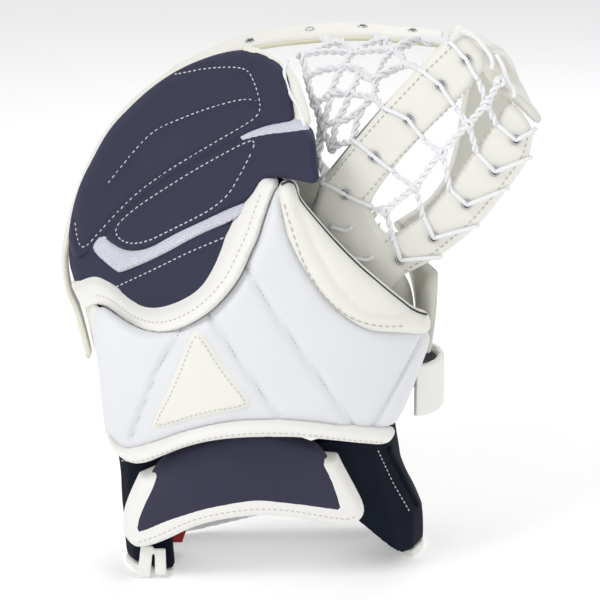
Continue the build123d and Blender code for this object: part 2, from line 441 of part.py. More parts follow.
WL0 = [(-92, -30), (-108, -27), (-121, -17), (-128, -2), (-128, 16), (-121, 32), (-107, 42)]
WL1 = [(x + (x + 24) * 0.06, y * (0.72 if y < 0 else 1.06)) for x, y in WL0]
gaiter("wing_left", [(5.0, WL0), (100.0, WL1)])
gaiter("wing_left_binding", [(0.0, [(x - 1.0, y) for x, y in WL0]), (4.9, [(x - 1.0, y) for x, y in WL0])], thick=WING + 1)
WR0 = [(74, 76), (86, 64), (93, 46), (92, 28), (84, 8), (68, -9), (46, -22), (16, -33)]
WR1 = [(62, 66), (70, 55), (75, 42), (75, 26), (70, 8), (58, -9), (40, -22), (14, -33)]
gaiter("wing_right", [(6.0, WR0), (30.0, WR0), (70.0, WR1), (104.0, [(x - 5, y) for x, y in WR1])],
       keep=[(0, 115), (0, 60), (40, 42), (58, 22), (76, 6), (110, 6), (110, 115)])
gaiter("wing_right_binding", [(0.0, [(x + 0.8, y) for x, y in WR0[:5]]), (5.9, [(x + 0.8, y) for x, y in WR0[:5]])], thick=WING + 1)
ribbon("heel_strap", [((-108, 50, 0.5), (-109, 50, 22)), ((-70, 66, 3), (-70, 66, 30)), ((-20, 76, 12), (-20, 76, 44)),
                      ((30, 80, 14), (30, 80, 46)), ((66, 78, 8), (66, 78, 38))], 5.0)
with BuildPart() as wrist_tabs:
    with BuildSketch(Plane.XZ.offset(32.0)):
        with BuildLine():
            Polyline((-118.5, 0.6), (-109.0, 0.6), (-106.5, 25), (-115.5, 25), close=True)
        make_face()
        with BuildLine():
            Polyline((-105.5, 2.5), (-97.0, 2.5), (-97.5, 23), (-105.5, 23), close=True)
        make_face()
    extrude(amount=3.0)
finish(wrist_tabs, "wrist_tabs")
with BuildPart() as lining_tab:
    with BuildSketch(Plane.XZ.offset(-24.0)):
        with BuildLine():
            Polyline((-101, 6), (-88, 6), (-82, 24), (-92, 26), close=True)
        make_face()
    extrude(amount=1.5)
finish(lining_tab, "lining_tab")

# ------------------------------------------------------------------ wrist flap
layer("wrist_flap_pad", FLAP_IN, flap_y, FLAP)
layer("wrist_flap_binding", FLAP_OUT, shifted(flap_y, -2.0), FLAP + 3.0, minus=[FLAP_IN])

# ----------------------------------------------------------------- wrist strap
STRAP = [(83, -14), (93, -8), (100, 3), (103.5, 18), (102, 34), (95, 50), (80, 64), (60, 74)]
ribbon("wrist_strap", [((x, y, 117), (x, y, 156)) for x, y in STRAP], 5.0)
HOOK = wall(STRAP[1:6][::-1], 3.8)
ribbon("wrist_strap_hook", [((x, y, 121), (x, y, 151)) for x, y in HOOK], 1.6)
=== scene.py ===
import math, json, random
import numpy as np
import bpy
from mathutils import Vector, Matrix, geometry


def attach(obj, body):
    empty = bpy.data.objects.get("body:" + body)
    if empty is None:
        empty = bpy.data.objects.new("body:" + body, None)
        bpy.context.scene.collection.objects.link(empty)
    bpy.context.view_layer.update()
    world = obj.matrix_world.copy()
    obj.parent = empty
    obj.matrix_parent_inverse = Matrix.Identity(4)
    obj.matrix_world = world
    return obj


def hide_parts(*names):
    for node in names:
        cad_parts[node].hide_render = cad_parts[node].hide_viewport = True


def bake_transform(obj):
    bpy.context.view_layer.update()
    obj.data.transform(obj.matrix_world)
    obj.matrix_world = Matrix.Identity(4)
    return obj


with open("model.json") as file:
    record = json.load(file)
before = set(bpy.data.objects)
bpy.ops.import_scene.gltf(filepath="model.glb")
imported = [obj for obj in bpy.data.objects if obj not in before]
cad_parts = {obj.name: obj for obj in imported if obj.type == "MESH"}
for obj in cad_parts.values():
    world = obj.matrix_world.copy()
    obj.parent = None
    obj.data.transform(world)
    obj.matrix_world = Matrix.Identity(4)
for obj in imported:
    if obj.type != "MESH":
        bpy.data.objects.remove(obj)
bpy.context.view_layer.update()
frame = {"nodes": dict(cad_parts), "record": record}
random.seed(4)
DX, DY = 4.1, -24.8
HX, HY, HZ = 52.4, 8.0, 252.6
EX, EZ = 0.6648, 0.7470
NX, NZ = -0.7470, 0.6648


# ------------------------------------------------------------- camera and room
def look(obj, target):
    d = Vector(target) - obj.location
    obj.rotation_euler = d.to_track_quat("-Z", "Y").to_euler()


scene = bpy.context.scene
cam_data = bpy.data.cameras.new("camera")
cam = bpy.data.objects.new("camera", cam_data)
scene.collection.objects.link(cam)
cam.location = (DX / 1000, -1.73867 + DY / 1000, 0.66637)
look(cam, (DX / 1000, DY / 1000, 0.2005))
cam_data.lens, cam_data.sensor_width = 150, 36
scene.camera = cam
scene.view_settings.view_transform = "Standard"


def area(name, loc, target, size, power, col=(1, 1, 1)):
    d = bpy.data.lights.new(name, "AREA")
    d.size, d.energy, d.color = size, power, col
    o = bpy.data.objects.new(name, d)
    scene.collection.objects.link(o)
    o.location = loc
    look(o, target)


area("key", (-1.3, -1.2, 1.7), (0, 0, 0.2), 0.8, 20)
area("fill", (1.5, -1.0, 0.9), (0, 0, 0.2), 1.4, 5)
area("back", (0.5, 1.5, 1.6), (0, 0, 0.2), 1.2, 11)
world = bpy.data.worlds.new("room")
world.use_nodes = True
world.node_tree.nodes["Background"].inputs[0].default_value = (1, 1, 1, 1)
world.node_tree.nodes["Background"].inputs[1].default_value = 0.61
scene.world = world


# ------------------------------------------------------------------- materials
def mat(name, base, rough, kind, scale=900.0, bump=0.3, sheen=0.0, vary=0.06, coat=0.0, spec=0.5, dist=0.0004, metal=0.0):
    m = bpy.data.materials.new(name)
    m.use_nodes = True
    nt = m.node_tree
    b = nt.nodes["Principled BSDF"]
    b.inputs["Specular IOR Level"].default_value = spec
    b.inputs["Sheen Weight"].default_value = sheen
    b.inputs["Coat Weight"].default_value = coat
    b.inputs["Coat Roughness"].default_value = 0.35
    b.inputs["Metallic"].default_value = metal
    tc = nt.nodes.new("ShaderNodeTexCoord")
    obj = tc.outputs["Object"]

    def node(t, **kw):
        n = nt.nodes.new(t)
        for k, v in kw.items():
            if hasattr(n, k):
                setattr(n, k, v)
            else:
                n.inputs[k].default_value = v
        return n

    big = node("ShaderNodeTexNoise", Scale=22.0, Detail=4.0)
    nt.links.new(obj, big.inputs["Vector"])
    ramp = node("ShaderNodeMix")
    ramp.data_type = "RGBA"
    lo = tuple(max(0, c * (1 - vary)) for c in base) + (1,)
    hi = tuple(min(1, c * (1 + vary)) for c in base) + (1,)
    ramp.inputs["A"].default_value, ramp.inputs["B"].default_value = lo, hi
    nt.links.new(big.outputs["Fac"], ramp.inputs["Factor"])
    colour = ramp.outputs["Result"]
    heights = []
    if kind == "leather":
        v = node("ShaderNodeTexVoronoi", Scale=scale)
        v.feature = "DISTANCE_TO_EDGE"
        nt.links.new(obj, v.inputs["Vector"])
        r = node("ShaderNodeMapRange", **{"From Max": 0.12})
        nt.links.new(v.outputs["Distance"], r.inputs["Value"])
        n2 = node("ShaderNodeTexNoise", Scale=scale * 0.3, Detail=6.0)
        nt.links.new(obj, n2.inputs["Vector"])
        a = node("ShaderNodeMath", operation="ADD")
        nt.links.new(r.outputs["Result"], a.inputs[0])
        nt.links.new(n2.outputs["Fac"], a.inputs[1])
        heights.append(a.outputs[0])
        rr = node("ShaderNodeMapRange", **{"To Min": rough - 0.07, "To Max": rough + 0.09})
        nt.links.new(n2.outputs["Fac"], rr.inputs["Value"])
        nt.links.new(rr.outputs["Result"], b.inputs["Roughness"])
    elif kind == "weave":
        w1 = node("ShaderNodeTexWave", Scale=scale, Distortion=0.6)
        w1.bands_direction = "X"
        w2 = node("ShaderNodeTexWave", Scale=scale, Distortion=0.6)
        w2.bands_direction = "Z"
        nt.links.new(obj, w1.inputs["Vector"])
        nt.links.new(obj, w2.inputs["Vector"])
        a = node("ShaderNodeMath", operation="MAXIMUM")
        nt.links.new(w1.outputs["Fac"], a.inputs[0])
        nt.links.new(w2.outputs["Fac"], a.inputs[1])
        heights.append(a.outputs[0])
        mix = node("ShaderNodeMix")
        mix.data_type = "RGBA"
        mix.blend_type = "MULTIPLY"
        mix.inputs["Factor"].default_value = 0.35
        nt.links.new(colour, mix.inputs["A"])
        nt.links.new(a.outputs[0], mix.inputs["B"])
        colour = mix.outputs["Result"]
        rr = node("ShaderNodeMapRange", **{"To Min": rough + 0.1, "To Max": rough - 0.05})
        nt.links.new(a.outputs[0], rr.inputs["Value"])
        nt.links.new(rr.outputs["Result"], b.inputs["Roughness"])
    elif kind == "mesh":
        v = node("ShaderNodeTexVoronoi", Scale=scale, Randomness=0.15)
        nt.links.new(obj, v.inputs["Vector"])
        r = node("ShaderNodeMapRange", **{"From Min": 0.15, "From Max": 0.42})
        nt.links.new(v.outputs["Distance"], r.inputs["Value"])
        heights.append(r.outputs["Result"])
        mix = node("ShaderNodeMix")
        mix.data_type = "RGBA"
        mix.inputs["A"].default_value = tuple(c * 0.55 for c in base) + (1,)
        nt.links.new(colour, mix.inputs["B"])
        nt.links.new(r.outputs["Result"], mix.inputs["Factor"])
        colour = mix.outputs["Result"]
        b.inputs["Roughness"].default_value = rough
    elif kind == "braid":
        w1 = node("ShaderNodeTexWave", Scale=scale, Distortion=2.5, Detail=2.0)
        w1.bands_direction = "DIAGONAL"
        nt.links.new(obj, w1.inputs["Vector"])
        heights.append(w1.outputs["Fac"])
        rr = node("ShaderNodeMapRange", **{"To Min": rough, "To Max": rough + 0.15})
        nt.links.new(w1.outputs["Fac"], rr.inputs["Value"])
        nt.links.new(rr.outputs["Result"], b.inputs["Roughness"])
    else:
        n2 = node("ShaderNodeTexNoise", Scale=scale, Detail=5.0)
        nt.links.new(obj, n2.inputs["Vector"])
        heights.append(n2.outputs["Fac"])
        rr = node("ShaderNodeMapRange", **{"To Min": rough - 0.05, "To Max": rough + 0.1})
        nt.links.new(n2.outputs["Fac"], rr.inputs["Value"])
        nt.links.new(rr.outputs["Result"], b.inputs["Roughness"])
    nt.links.new(colour, b.inputs["Base Color"])
    bp = node("ShaderNodeBump", Strength=bump, Distance=dist)
    nt.links.new(heights[0], bp.inputs["Height"])
    nt.links.new(bp.outputs["Normal"], b.inputs["Normal"])
    return m


NAVY = mat("navy_nylon", (0.032, 0.034, 0.072), 0.6, "weave", scale=420, bump=0.4, sheen=0.0, spec=0.28, vary=0.1)
NAVY2 = mat("navy_gaiter", (0.004, 0.0075, 0.018), 0.75, "weave", scale=520, bump=0.3, sheen=0.0, spec=0.13, vary=0.1)
FLAPM = mat("navy_flap", (0.029, 0.029, 0.064), 0.52, "weave", scale=420, bump=0.35, sheen=0.0, spec=0.35, vary=0.1)
WHITE = mat("white_leather", (0.77, 0.785, 0.815), 0.46, "leather", scale=1100, bump=0.22, vary=0.02)
CREAM = mat("cream_leather", (0.84, 0.83, 0.775), 0.48, "leather", scale=1100, bump=0.22, vary=0.025)
# cream leather darkened with painted shade, for the thumb leaf, thumb side panel and thumb wall, which lie in shade
CREAM_PAINTED_SHADE = mat("cream_leather_painted_shade", (0.60, 0.60, 0.54), 0.52, "leather", scale=1100, bump=0.25, vary=0.03)
BIND = mat("white_binding", (0.86, 0.85, 0.82), 0.5, "leather", scale=1400, bump=0.18, vary=0.02)
EDGE = mat("rim_edge", (0.78, 0.76, 0.58), 0.5, "leather", scale=1300, bump=0.2, vary=0.04)
LACE = mat("lace", (0.94, 0.94, 0.965), 0.7, "braid", scale=700, bump=0.45, vary=0.02, sheen=0.25)
THREAD = mat("thread_white", (0.8, 0.8, 0.84), 0.6, "braid", scale=1500, bump=0.4)
THREADG = mat("thread_grey", (0.42, 0.43, 0.46), 0.65, "braid", scale=1500, bump=0.4)
GREYEDGE = mat("grey_edge", (0.16, 0.155, 0.14), 0.6, "leather", scale=1200, bump=0.2)
THREADC = mat("thread_cream", (0.60, 0.58, 0.49), 0.65, "braid", scale=1500, bump=0.4)
GREY = mat("grey_mesh", (0.66, 0.67, 0.76), 0.7, "mesh", scale=700, bump=0.7, dist=0.0006)
STEEL = mat("eyelet_metal", (0.5, 0.5, 0.52), 0.35, "noise", scale=600, bump=0.08, metal=1.0)
# near-black discs in the eyelet holes: painted shade inside each eyelet ring
HOLE_SHADE = mat("eyelet_hole_painted_shade", (0.02, 0.02, 0.022), 0.8, "noise", scale=400, bump=0.2)
BLACK = mat("black_edge", (0.02, 0.02, 0.025), 0.5, "leather", scale=1200, bump=0.2)
HOOK = mat("hook_pile", (0.018, 0.02, 0.03), 0.9, "noise", scale=1800, bump=1.0, dist=0.001, sheen=0.3)
RED = mat("red_lining", (0.40, 0.008, 0.006), 0.65, "weave", scale=500, bump=0.4)
LINING = mat("inner_lining", (0.03, 0.03, 0.04), 0.9, "noise", scale=900, bump=0.6, sheen=0.3)
FOAM = mat("foam", (0.7, 0.7, 0.66), 0.85, "noise", scale=900, bump=0.5)
BOARDM = mat("inner_board", (0.05, 0.05, 0.055), 0.5, "noise", scale=300, bump=0.15)
FLOORM = mat("floor", (0.87, 0.87, 0.87), 0.7, "noise", scale=60, bump=0.02, vary=0.005)

bpy.ops.mesh.primitive_plane_add(size=40, location=(0, 0, -0.0002))
floor = bpy.context.object
FLOORM.node_tree.nodes["Principled BSDF"].inputs["Emission Color"].default_value = (1, 1, 1, 1)
FLOORM.node_tree.nodes["Principled BSDF"].inputs["Emission Strength"].default_value = 0.24
floor.name = "floor"
floor.data.materials.append(FLOORM)


# --------------------------------------------------------- the glove's surfaces
def uv(x, z):
    dx, dz = x - HX, z - HZ
    return dx * EX + dz * EZ, dx * NX + dz * NZ


def palm_y(x, z):
    u, v = uv(x, z)
    y = np.where(v > 0, 24 + 0.0030 * v * v, 24 + 40 * (1 - np.exp(-v * v / 12800.0)))
    edge = np.where(v > 0, 1.0, np.exp(-((v / 60.0) ** 2)))
    return y + 0.0010 * np.maximum(0.0, -u - 130) ** 2 * edge


def back_y(x, z):
    u, v = uv(x, z)
    swell = 70 * np.exp(-(((v - 45) / 68.0) ** 2))
    knuckle = 10 * np.exp(-(((u + 90) / 60.0) ** 2) - ((v - 50) / 50.0) ** 2)
    return palm_y(x, z) - 26 - swell - knuckle


def cuff_y(x, z):
    t = np.minimum(0.955, np.abs((x + 28) / 132.0))
    y = 8 - 78 * np.sqrt(1 - t * t)
    return y + np.where(z > 190, 0.0024 * (z - 190) ** 2, 0.0)


def strap_y(x, z):
    u, v = uv(x, z)
    s = np.clip((u + 50) / 240.0, 0, 1)
    return 2 - 16 * np.sin(math.pi * s) + 0.0022 * v * v + 0.006 * np.maximum(0, u - 130) ** 2


def flap_y(x, z):
    return -52 + 0.0026 * (x + 35) ** 2 - 0.10 * (112 - z)


def shifted(f, d):
    return lambda x, z: f(x, z) + d


# ---------------------------------------------------------------- mesh helpers
def new(name, verts, faces, material, smooth=True):
    me = bpy.data.meshes.new(name)
    v = np.asarray(verts, dtype=float)
    v = (v + np.array([DX, DY, 0.0])) / 1000.0
    me.from_pydata([tuple(p) for p in v], [], [tuple(int(i) for i in f) for f in faces])
    me.validate()
    me.update()
    ob = bpy.data.objects.new(name, me)
    scene.collection.objects.link(ob)
    me.materials.append(material)
    if smooth:
        me.polygons.foreach_set("use_smooth", [True] * len(me.polygons))
    return ob


def outward(ob):
    import bmesh
    bm = bmesh.new()
    bm.from_mesh(ob.data)
    bmesh.ops.recalc_face_normals(bm, faces=bm.faces)
    bm.to_mesh(ob.data)
    bm.free()
    return ob


def chaikin(pts, n=2, closed=True):
    p = np.array(pts, float)
    for _ in range(n):
        q = np.roll(p, -1, 0) if closed else p[1:]
        a = p if closed else p[:-1]
        new_p = np.stack([0.75 * a + 0.25 * q, 0.25 * a + 0.75 * q], 1).reshape(-1, p.shape[1])
        if not closed:
            new_p = np.vstack([p[:1], new_p, p[-1:]])
        p = new_p
    return p


def resample(pts, step, closed=False):
    p = np.array(pts, float)
    if closed:
        p = np.vstack([p, p[:1]])
    seg = np.sqrt(((p[1:] - p[:-1]) ** 2).sum(1))
    s = np.concatenate([[0], np.cumsum(seg)])
    n = max(3, int(round(s[-1] / step)))
    t = np.linspace(0, s[-1], n + 1)
    out = np.stack([np.interp(t, s, p[:, k]) for k in range(p.shape[1])], 1)
    return out[:-1] if closed else out


def dist(P, line, closed=False):
    A = np.array(line, float)
    B = np.roll(A, -1, 0) if closed else A[1:]
    A = A if closed else A[:-1]
    d = B - A
    L = (d * d).sum(1) + 1e-12
    out = np.empty(len(P))
    for i in range(0, len(P), 4000):
        Q = P[i:i + 4000]
        t = np.clip(((Q[:, None, :] - A[None]) * d[None]).sum(2) / L[None], 0, 1)
        q = A[None] + t[..., None] * d[None]
        out[i:i + 4000] = np.sqrt(((Q[:, None, :] - q) ** 2).sum(2)).min(1)
    return out


class Panel:
    """A padded panel: its outline in XZ, over the surface y = f(x, z)."""

    def __init__(self, name, outline, f, thick, material, puff=4.0, edge=7.0, crown=0.0, seams=(), seam_depth=2.6,
                 seam_width=2.4, bulge=1.0, step=2.6, rounds=2, wrinkle=0.0):
        self.f, self.puff, self.edge, self.crown = f, puff, edge, crown
        self.seams = [resample(chaikin(s, 2, False), 2.5) for s in seams]
        self.sd, self.sw, self.wr = seam_depth, seam_width, wrinkle
        self.rim = resample(chaikin(outline, rounds), step, True)
        rim = self.rim
        lo, hi = rim.min(0), rim.max(0)
        pts = []
        h = step
        rows = np.arange(lo[1], hi[1], h * 0.866)
        for j, z in enumerate(rows):
            xs = np.arange(lo[0] + (h / 2 if j % 2 else 0), hi[0], h)
            pts += [(x, z) for x in xs]
        pts = np.array(pts)
        pts = pts[dist(pts, rim, True) > 0.55 * h]
        coords = [Vector(p) for p in rim] + [Vector(p) for p in pts]
        nb = len(rim)
        vs, _, fs, _, _, _ = geometry.delaunay_2d_cdt(coords, [], [list(range(nb))], 1, 1e-5)
        V = np.array([(v.x, v.y) for v in vs])
        used = sorted({i for t in fs for i in t})
        remap = {o: n for n, o in enumerate(used)}
        V = V[used]
        fs = [[remap[i] for i in t] for t in fs]
        n = len(V)
        yf = self.y(V)
        yb = f(V[:, 0], V[:, 1]) + (thick(V[:, 0], V[:, 1]) if callable(thick) else thick)
        front = np.stack([V[:, 0], yf, V[:, 1]], 1)
        back = np.stack([V[:, 0], yb, V[:, 1]], 1)
        # boundary edges
        cnt = {}
        for t in fs:
            for a, b in zip(t, t[1:] + t[:1]):
                cnt[(a, b)] = 1
        border = [(a, b) for (a, b) in cnt if (b, a) not in cnt]
        verts = [front, back]
        faces = [tuple(t) for t in fs] + [tuple(i + n for i in reversed(t)) for t in fs]
        nrm = {}
        for a, b in border:
            d = V[b] - V[a]
            m = np.array([d[1], -d[0]]) / (np.hypot(*d) + 1e-9)
            nrm[a] = nrm.get(a, 0) + m
            nrm[b] = nrm.get(b, 0) + m
        base = 2 * n
        rings = []
        for fr in (0.18, 0.5, 0.82):
            ring = {}
            extra = []
            for i, m in nrm.items():
                m = m / (np.hypot(*m) + 1e-9)
                k = bulge * math.sin(math.pi * fr)
                p = front[i] * (1 - fr) + back[i] * fr
                extra.append((p[0] + m[0] * k, p[1], p[2] + m[1] * k))
                ring[i] = base + len(extra) - 1
            base += len(extra)
            verts.append(np.array(extra))
            rings.append(ring)
        first = {i: i for i in nrm}
        last = {i: i + n for i in nrm}
        chain = [first] + rings + [last]
        for r0, r1 in zip(chain[:-1], chain[1:]):
            for a, b in border:
                faces.append((r0[b], r0[a], r1[a], r1[b]))
        self.ob = outward(new(name, np.vstack(verts), faces, material))

    def y(self, P):
        P = np.atleast_2d(P)
        d = dist(P, self.rim, True)
        t = np.clip(d / self.edge, 0, 1)
        up = self.puff * np.sqrt(np.maximum(0, 1 - (1 - t) ** 2)) + self.crown * (1 - np.exp(-d / 22.0))
        for s in self.seams:
            ds = dist(P, s)
            up = up - self.sd * np.exp(-((ds / self.sw) ** 2)) - self.sd * 0.8 * np.exp(-ds / 7.0)
        if self.wr:
            x, z = P[:, 0], P[:, 1]
            up = up + self.wr * (np.sin(x * 0.11 + 1.3 * np.sin(z * 0.07)) * np.sin(z * 0.09 + 0.8 * np.sin(x * 0.05)))
        return self.f(P[:, 0], P[:, 1]) - up

    def at(self, P, lift=0.0):
        P = np.atleast_2d(np.array(P, float))
        return np.stack([P[:, 0], self.y(P) - lift, P[:, 1]], 1)


def stitches(name, lines3d, material, length=3.1, gap=1.7, r=0.5):
    V, F = [], []
    for line in lines3d:
        p = resample(line, 0.8)
        seg = np.sqrt(((p[1:] - p[:-1]) ** 2).sum(1))
        s = np.concatenate([[0], np.cumsum(seg)])
        t0 = 0.6
        while t0 + length < s[-1]:
            a = np.array([np.interp(t0, s, p[:, k]) for k in range(3)])
            b = np.array([np.interp(t0 + length, s, p[:, k]) for k in range(3)])
            d = (b - a) / (np.linalg.norm(b - a) + 1e-9)
            up = np.array([0, -1.0, 0])
            side = np.cross(d, up)
            side /= np.linalg.norm(side) + 1e-9
            up = np.cross(side, d)
            base = len(V)
            for fr, k, rise in ((0, 0.45, -0.35), (0.2, 1, 0.1), (0.8, 1, 0.1), (1, 0.45, -0.35)):
                c = a + (b - a) * fr + up * rise
                for q in range(6):
                    an = q * math.pi / 3
                    V.append(c + (side * math.cos(an) + up * math.sin(an)) * r * k)
            for i in range(3):
                for q in range(6):
                    F.append((base + i * 6 + q, base + i * 6 + (q + 1) % 6, base + (i + 1) * 6 + (q + 1) % 6, base + (i + 1) * 6 + q))
            F.append(tuple(base + q for q in reversed(range(6))))
            F.append(tuple(base + 18 + q for q in range(6)))
            t0 += length + gap
    return outward(new(name, V, F, material))


def frames(p):
    t = np.gradient(p, axis=0)
    t /= np.linalg.norm(t, axis=1)[:, None] + 1e-9
    n = np.cross(t[0], [0.0, -1.0, 0.0])
    if np.linalg.norm(n) < 1e-3:
        n = np.cross(t[0], [1.0, 0, 0])
    n /= np.linalg.norm(n)
    N = [n]
    for i in range(1, len(p)):
        n = N[-1] - t[i] * np.dot(N[-1], t[i])
        n /= np.linalg.norm(n) + 1e-9
        N.append(n)
    N = np.array(N)
    return t, N, np.cross(t, N)


def tube_geo(p, r, sides=10, caps=True, flat=1.0, updir=None):
    """Vertices and faces of a tube along p; r may vary; flat < 1 squashes it along updir."""
    p = np.array(p, float)
    t, N, B = frames(p)
    if updir is not None:
        u = np.array([np.asarray(updir(q) if callable(updir) else updir, float) for q in p])
        u = u - t * (u * t).sum(1)[:, None]
        u /= np.linalg.norm(u, axis=1)[:, None] + 1e-9
        B = u
        N = np.cross(B, t)
    rr = np.broadcast_to(np.asarray(r, float), (len(p),))
    V, F = [], []
    for i in range(len(p)):
        for q in range(sides):
            a = 2 * math.pi * q / sides
            V.append(p[i] + rr[i] * (N[i] * math.cos(a) + B[i] * math.sin(a) * flat))
    for i in range(len(p) - 1):
        for q in range(sides):
            F.append((i * sides + q, i * sides + (q + 1) % sides, (i + 1) * sides + (q + 1) % sides, (i + 1) * sides + q))
    if caps:
        F.append(tuple(reversed(range(sides))))
        F.append(tuple((len(p) - 1) * sides + q for q in range(sides)))
    return V, F


def merge(name, parts, material):
    V, F = [], []
    for v, f in parts:
        b = len(V)
        V += list(v)
        F += [tuple(i + b for i in t) for t in f]
    return outward(new(name, V, F, material))


def smooth_line(pts, step=2.0, rounds=3):
    return resample(chaikin(pts, rounds, False), step)


def twisted(p0, r=1.25, pitch=15.0, off=1.15, phase=0.0, step=1.4):
    """Two laces twisted round each other along p0."""
    p = smooth_line(p0, step)
    t, N, B = frames(p)
    s = np.concatenate([[0], np.cumsum(np.sqrt(((p[1:] - p[:-1]) ** 2).sum(1)))])
    out = []
    for k in (0, math.pi):
        a = 2 * math.pi * s / pitch + phase + k
        q = p + off * (N * np.cos(a)[:, None] + B * np.sin(a)[:, None] * 0.8)
        out.append(tube_geo(q, r, 8))
    return out


def knot(c, r=2.3, lace=1.25, seed=0):
    a = np.linspace(0, 2 * math.pi, 28)
    rnd = random.Random(seed)
    ph = rnd.random() * 6
    p = np.stack([r * np.cos(a + ph), 1.5 * np.sin(2 * a + ph) - 0.6, r * np.sin(a + ph) * 0.9], 1) + np.array(c)
    return tube_geo(p, lace, 8, caps=True)


def band(name, stations, thick, material, step=3.0, sides=7, crown=0.35):
    """A strap with rounded edges through stations of (edge point, edge point)."""
    A = smooth_line([s[0] for s in stations], step, 2)
    B = smooth_line([s[1] for s in stations], step, 2)
    n = min(len(A), len(B))
    ta = np.linspace(0, len(A) - 1, n)
    tb = np.linspace(0, len(B) - 1, n)
    A = np.stack([np.interp(ta, range(len(A)), A[:, k]) for k in range(3)], 1)
    B = np.stack([np.interp(tb, range(len(B)), B[:, k]) for k in range(3)], 1)
    mid = (A + B) / 2
    t = np.gradient(mid, axis=0)
    t /= np.linalg.norm(t, axis=1)[:, None] + 1e-9
    w = B - A
    L = np.linalg.norm(w, axis=1)
    w = w / (L[:, None] + 1e-9)
    up = np.cross(t, w)
    up /= np.linalg.norm(up, axis=1)[:, None] + 1e-9
    prof = []
    m = 10
    for i in range(m + 1):
        prof.append((-1 + 2 * i / m, 1))
    prof += [(1, 0.5), (1, 0), (1, -0.5)]
    for i in range(m + 1):
        prof.append((1 - 2 * i / m, -1))
    prof += [(-1, -0.5), (-1, 0), (-1, 0.5)]
    V, F = [], []
    k = len(prof)
    for i in range(n):
        h = thick / 2
        for (a, b) in prof:
            x = a * (L[i] / 2 - 0.0)
            e = max(0.0, abs(a) - 0.86) / 0.14
            y = b * h * (1 + crown * (1 - a * a)) * (1 - 0.45 * e * e)
            V.append(mid[i] + w[i] * x + up[i] * y)
    for i in range(n - 1):
        for q in range(k):
            F.append((i * k + q, i * k + (q + 1) % k, (i + 1) * k + (q + 1) % k, (i + 1) * k + q))
    F.append(tuple(reversed(range(k))))
    F.append(tuple((n - 1) * k + q for q in range(k)))
    ob = outward(new(name, V, F, material))
    return ob, mid, w, up, L


def soften(node, name, material, voxel=0.003, rounds=10, factor=0.5, grow=0.0, ripple=0.0):
    """A soft version of a carried-over solid: remeshed and relaxed, and swollen only when grow is given."""
    src = bpy.data.objects[node] if node in bpy.data.objects else frame["nodes"][node]
    me = src.data.copy()
    me.materials.clear()
    ob = bpy.data.objects.new(name, me)
    scene.collection.objects.link(ob)
    bpy.context.view_layer.objects.active = ob
    for o in bpy.context.selected_objects:
        o.select_set(False)
    ob.select_set(True)
    m = ob.modifiers.new("remesh", "REMESH")
    m.mode, m.voxel_size = "VOXEL", voxel
    s = ob.modifiers.new("smooth", "SMOOTH")
    s.iterations, s.factor = rounds, factor
    if grow:
        d = ob.modifiers.new("grow", "DISPLACE")
        d.strength, d.mid_level = grow, 0.0
    dg = bpy.context.evaluated_depsgraph_get()
    done = bpy.data.meshes.new_from_object(ob.evaluated_get(dg))
    ob.modifiers.clear()
    ob.data = done
    ob.data.name = name
    done.materials.clear()
    done.materials.append(material)
    if ripple:
        co = np.empty(len(done.vertices) * 3)
        no = np.empty(len(done.vertices) * 3)
        done.vertices.foreach_get("co", co)
        done.vertices.foreach_get("normal", no)
        co, no = co.reshape(-1, 3), no.reshape(-1, 3)
        c = co * 1000
        a = np.sin(c[:, 0] * 0.13 + 1.1 * np.sin(c[:, 2] * 0.06)) * np.sin(c[:, 2] * 0.10 + c[:, 1] * 0.09)
        co += no * (a[:, None] * ripple)
        done.vertices.foreach_set("co", co.ravel())
    done.polygons.foreach_set("use_smooth", [True] * len(done.polygons))
    done.update()
    return ob


def across(ob, lo=-22, hi=22, y=8.0):
    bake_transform(ob)


RECORD = frame["record"]
HOME = {n: b for b, ns in RECORD["behaviour"]["bodies"].items() for n in ns}


def settle(ob, *nodes, body=None, slot=None, pad=None, bend=None):
    """Hides the CAD parts the piece stands for, and attaches it to the body it moves with; with bend, only bakes its
    transform.
    """
    if nodes:
        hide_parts(*nodes)
    if bend:
        across(ob, *bend)
    else:
        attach(ob, body or HOME[nodes[0]])
    return ob


# ------------------------------------------------------------------ backhand
WIDE = (-65, 65)
upper = Panel("backhand_upper_pad", [[-10, 363.5], [-24.4, 370.2], [-41.3, 371.1], [-58.4, 366.3], [-78.6, 357.2], [-92.9, 349.4], [-107.4, 338.9], [-121.8, 326.3], [-137.1, 311], [-146.9, 297.7], [-155, 282], [-162.5, 268.4], [-167.4, 253.9], [-170.8, 238.3], [-171.5, 226.5], [-166.6, 217.9], [-158.7, 220.2], [-145, 234.3], [-130.8, 250.2], [-116.5, 264.7], [-95.6, 281.6], [-74.1, 296], [-52.9, 310.2], [-31.9, 323.1], [-21.2, 327.4], [-4.9, 333.3], [-4.2, 335.9], [-6.4, 349.4]], shifted(back_y, 2.6), 8.4, NAVY, puff=6.0, edge=11, crown=1.6,
              seams=[[[-29.9, 341], [-36.9, 342], [-49.5, 338.5], [-70.7, 329.8], [-92.3, 319.2], [-106.7, 311.5], [-118.2, 300.4], [-131.1, 284.8], [-142.6, 270.6]], [[-93, 349], [-69.8, 356.5], [-49.8, 360.4], [-38.6, 360.7], [-34.2, 355.9], [-29.2, 344.7], [-27.8, 334.9], [-35.3, 327.8], [-56.1, 314.2], [-77.2, 299.9], [-98.5, 285.4], [-120, 268.4], [-134.4, 253.7], [-148.8, 237.7], [-159.6, 225.3], [-164.6, 231.1], [-167.5, 244.1]]], seam_depth=2.3, seam_width=2.0, wrinkle=0.5)
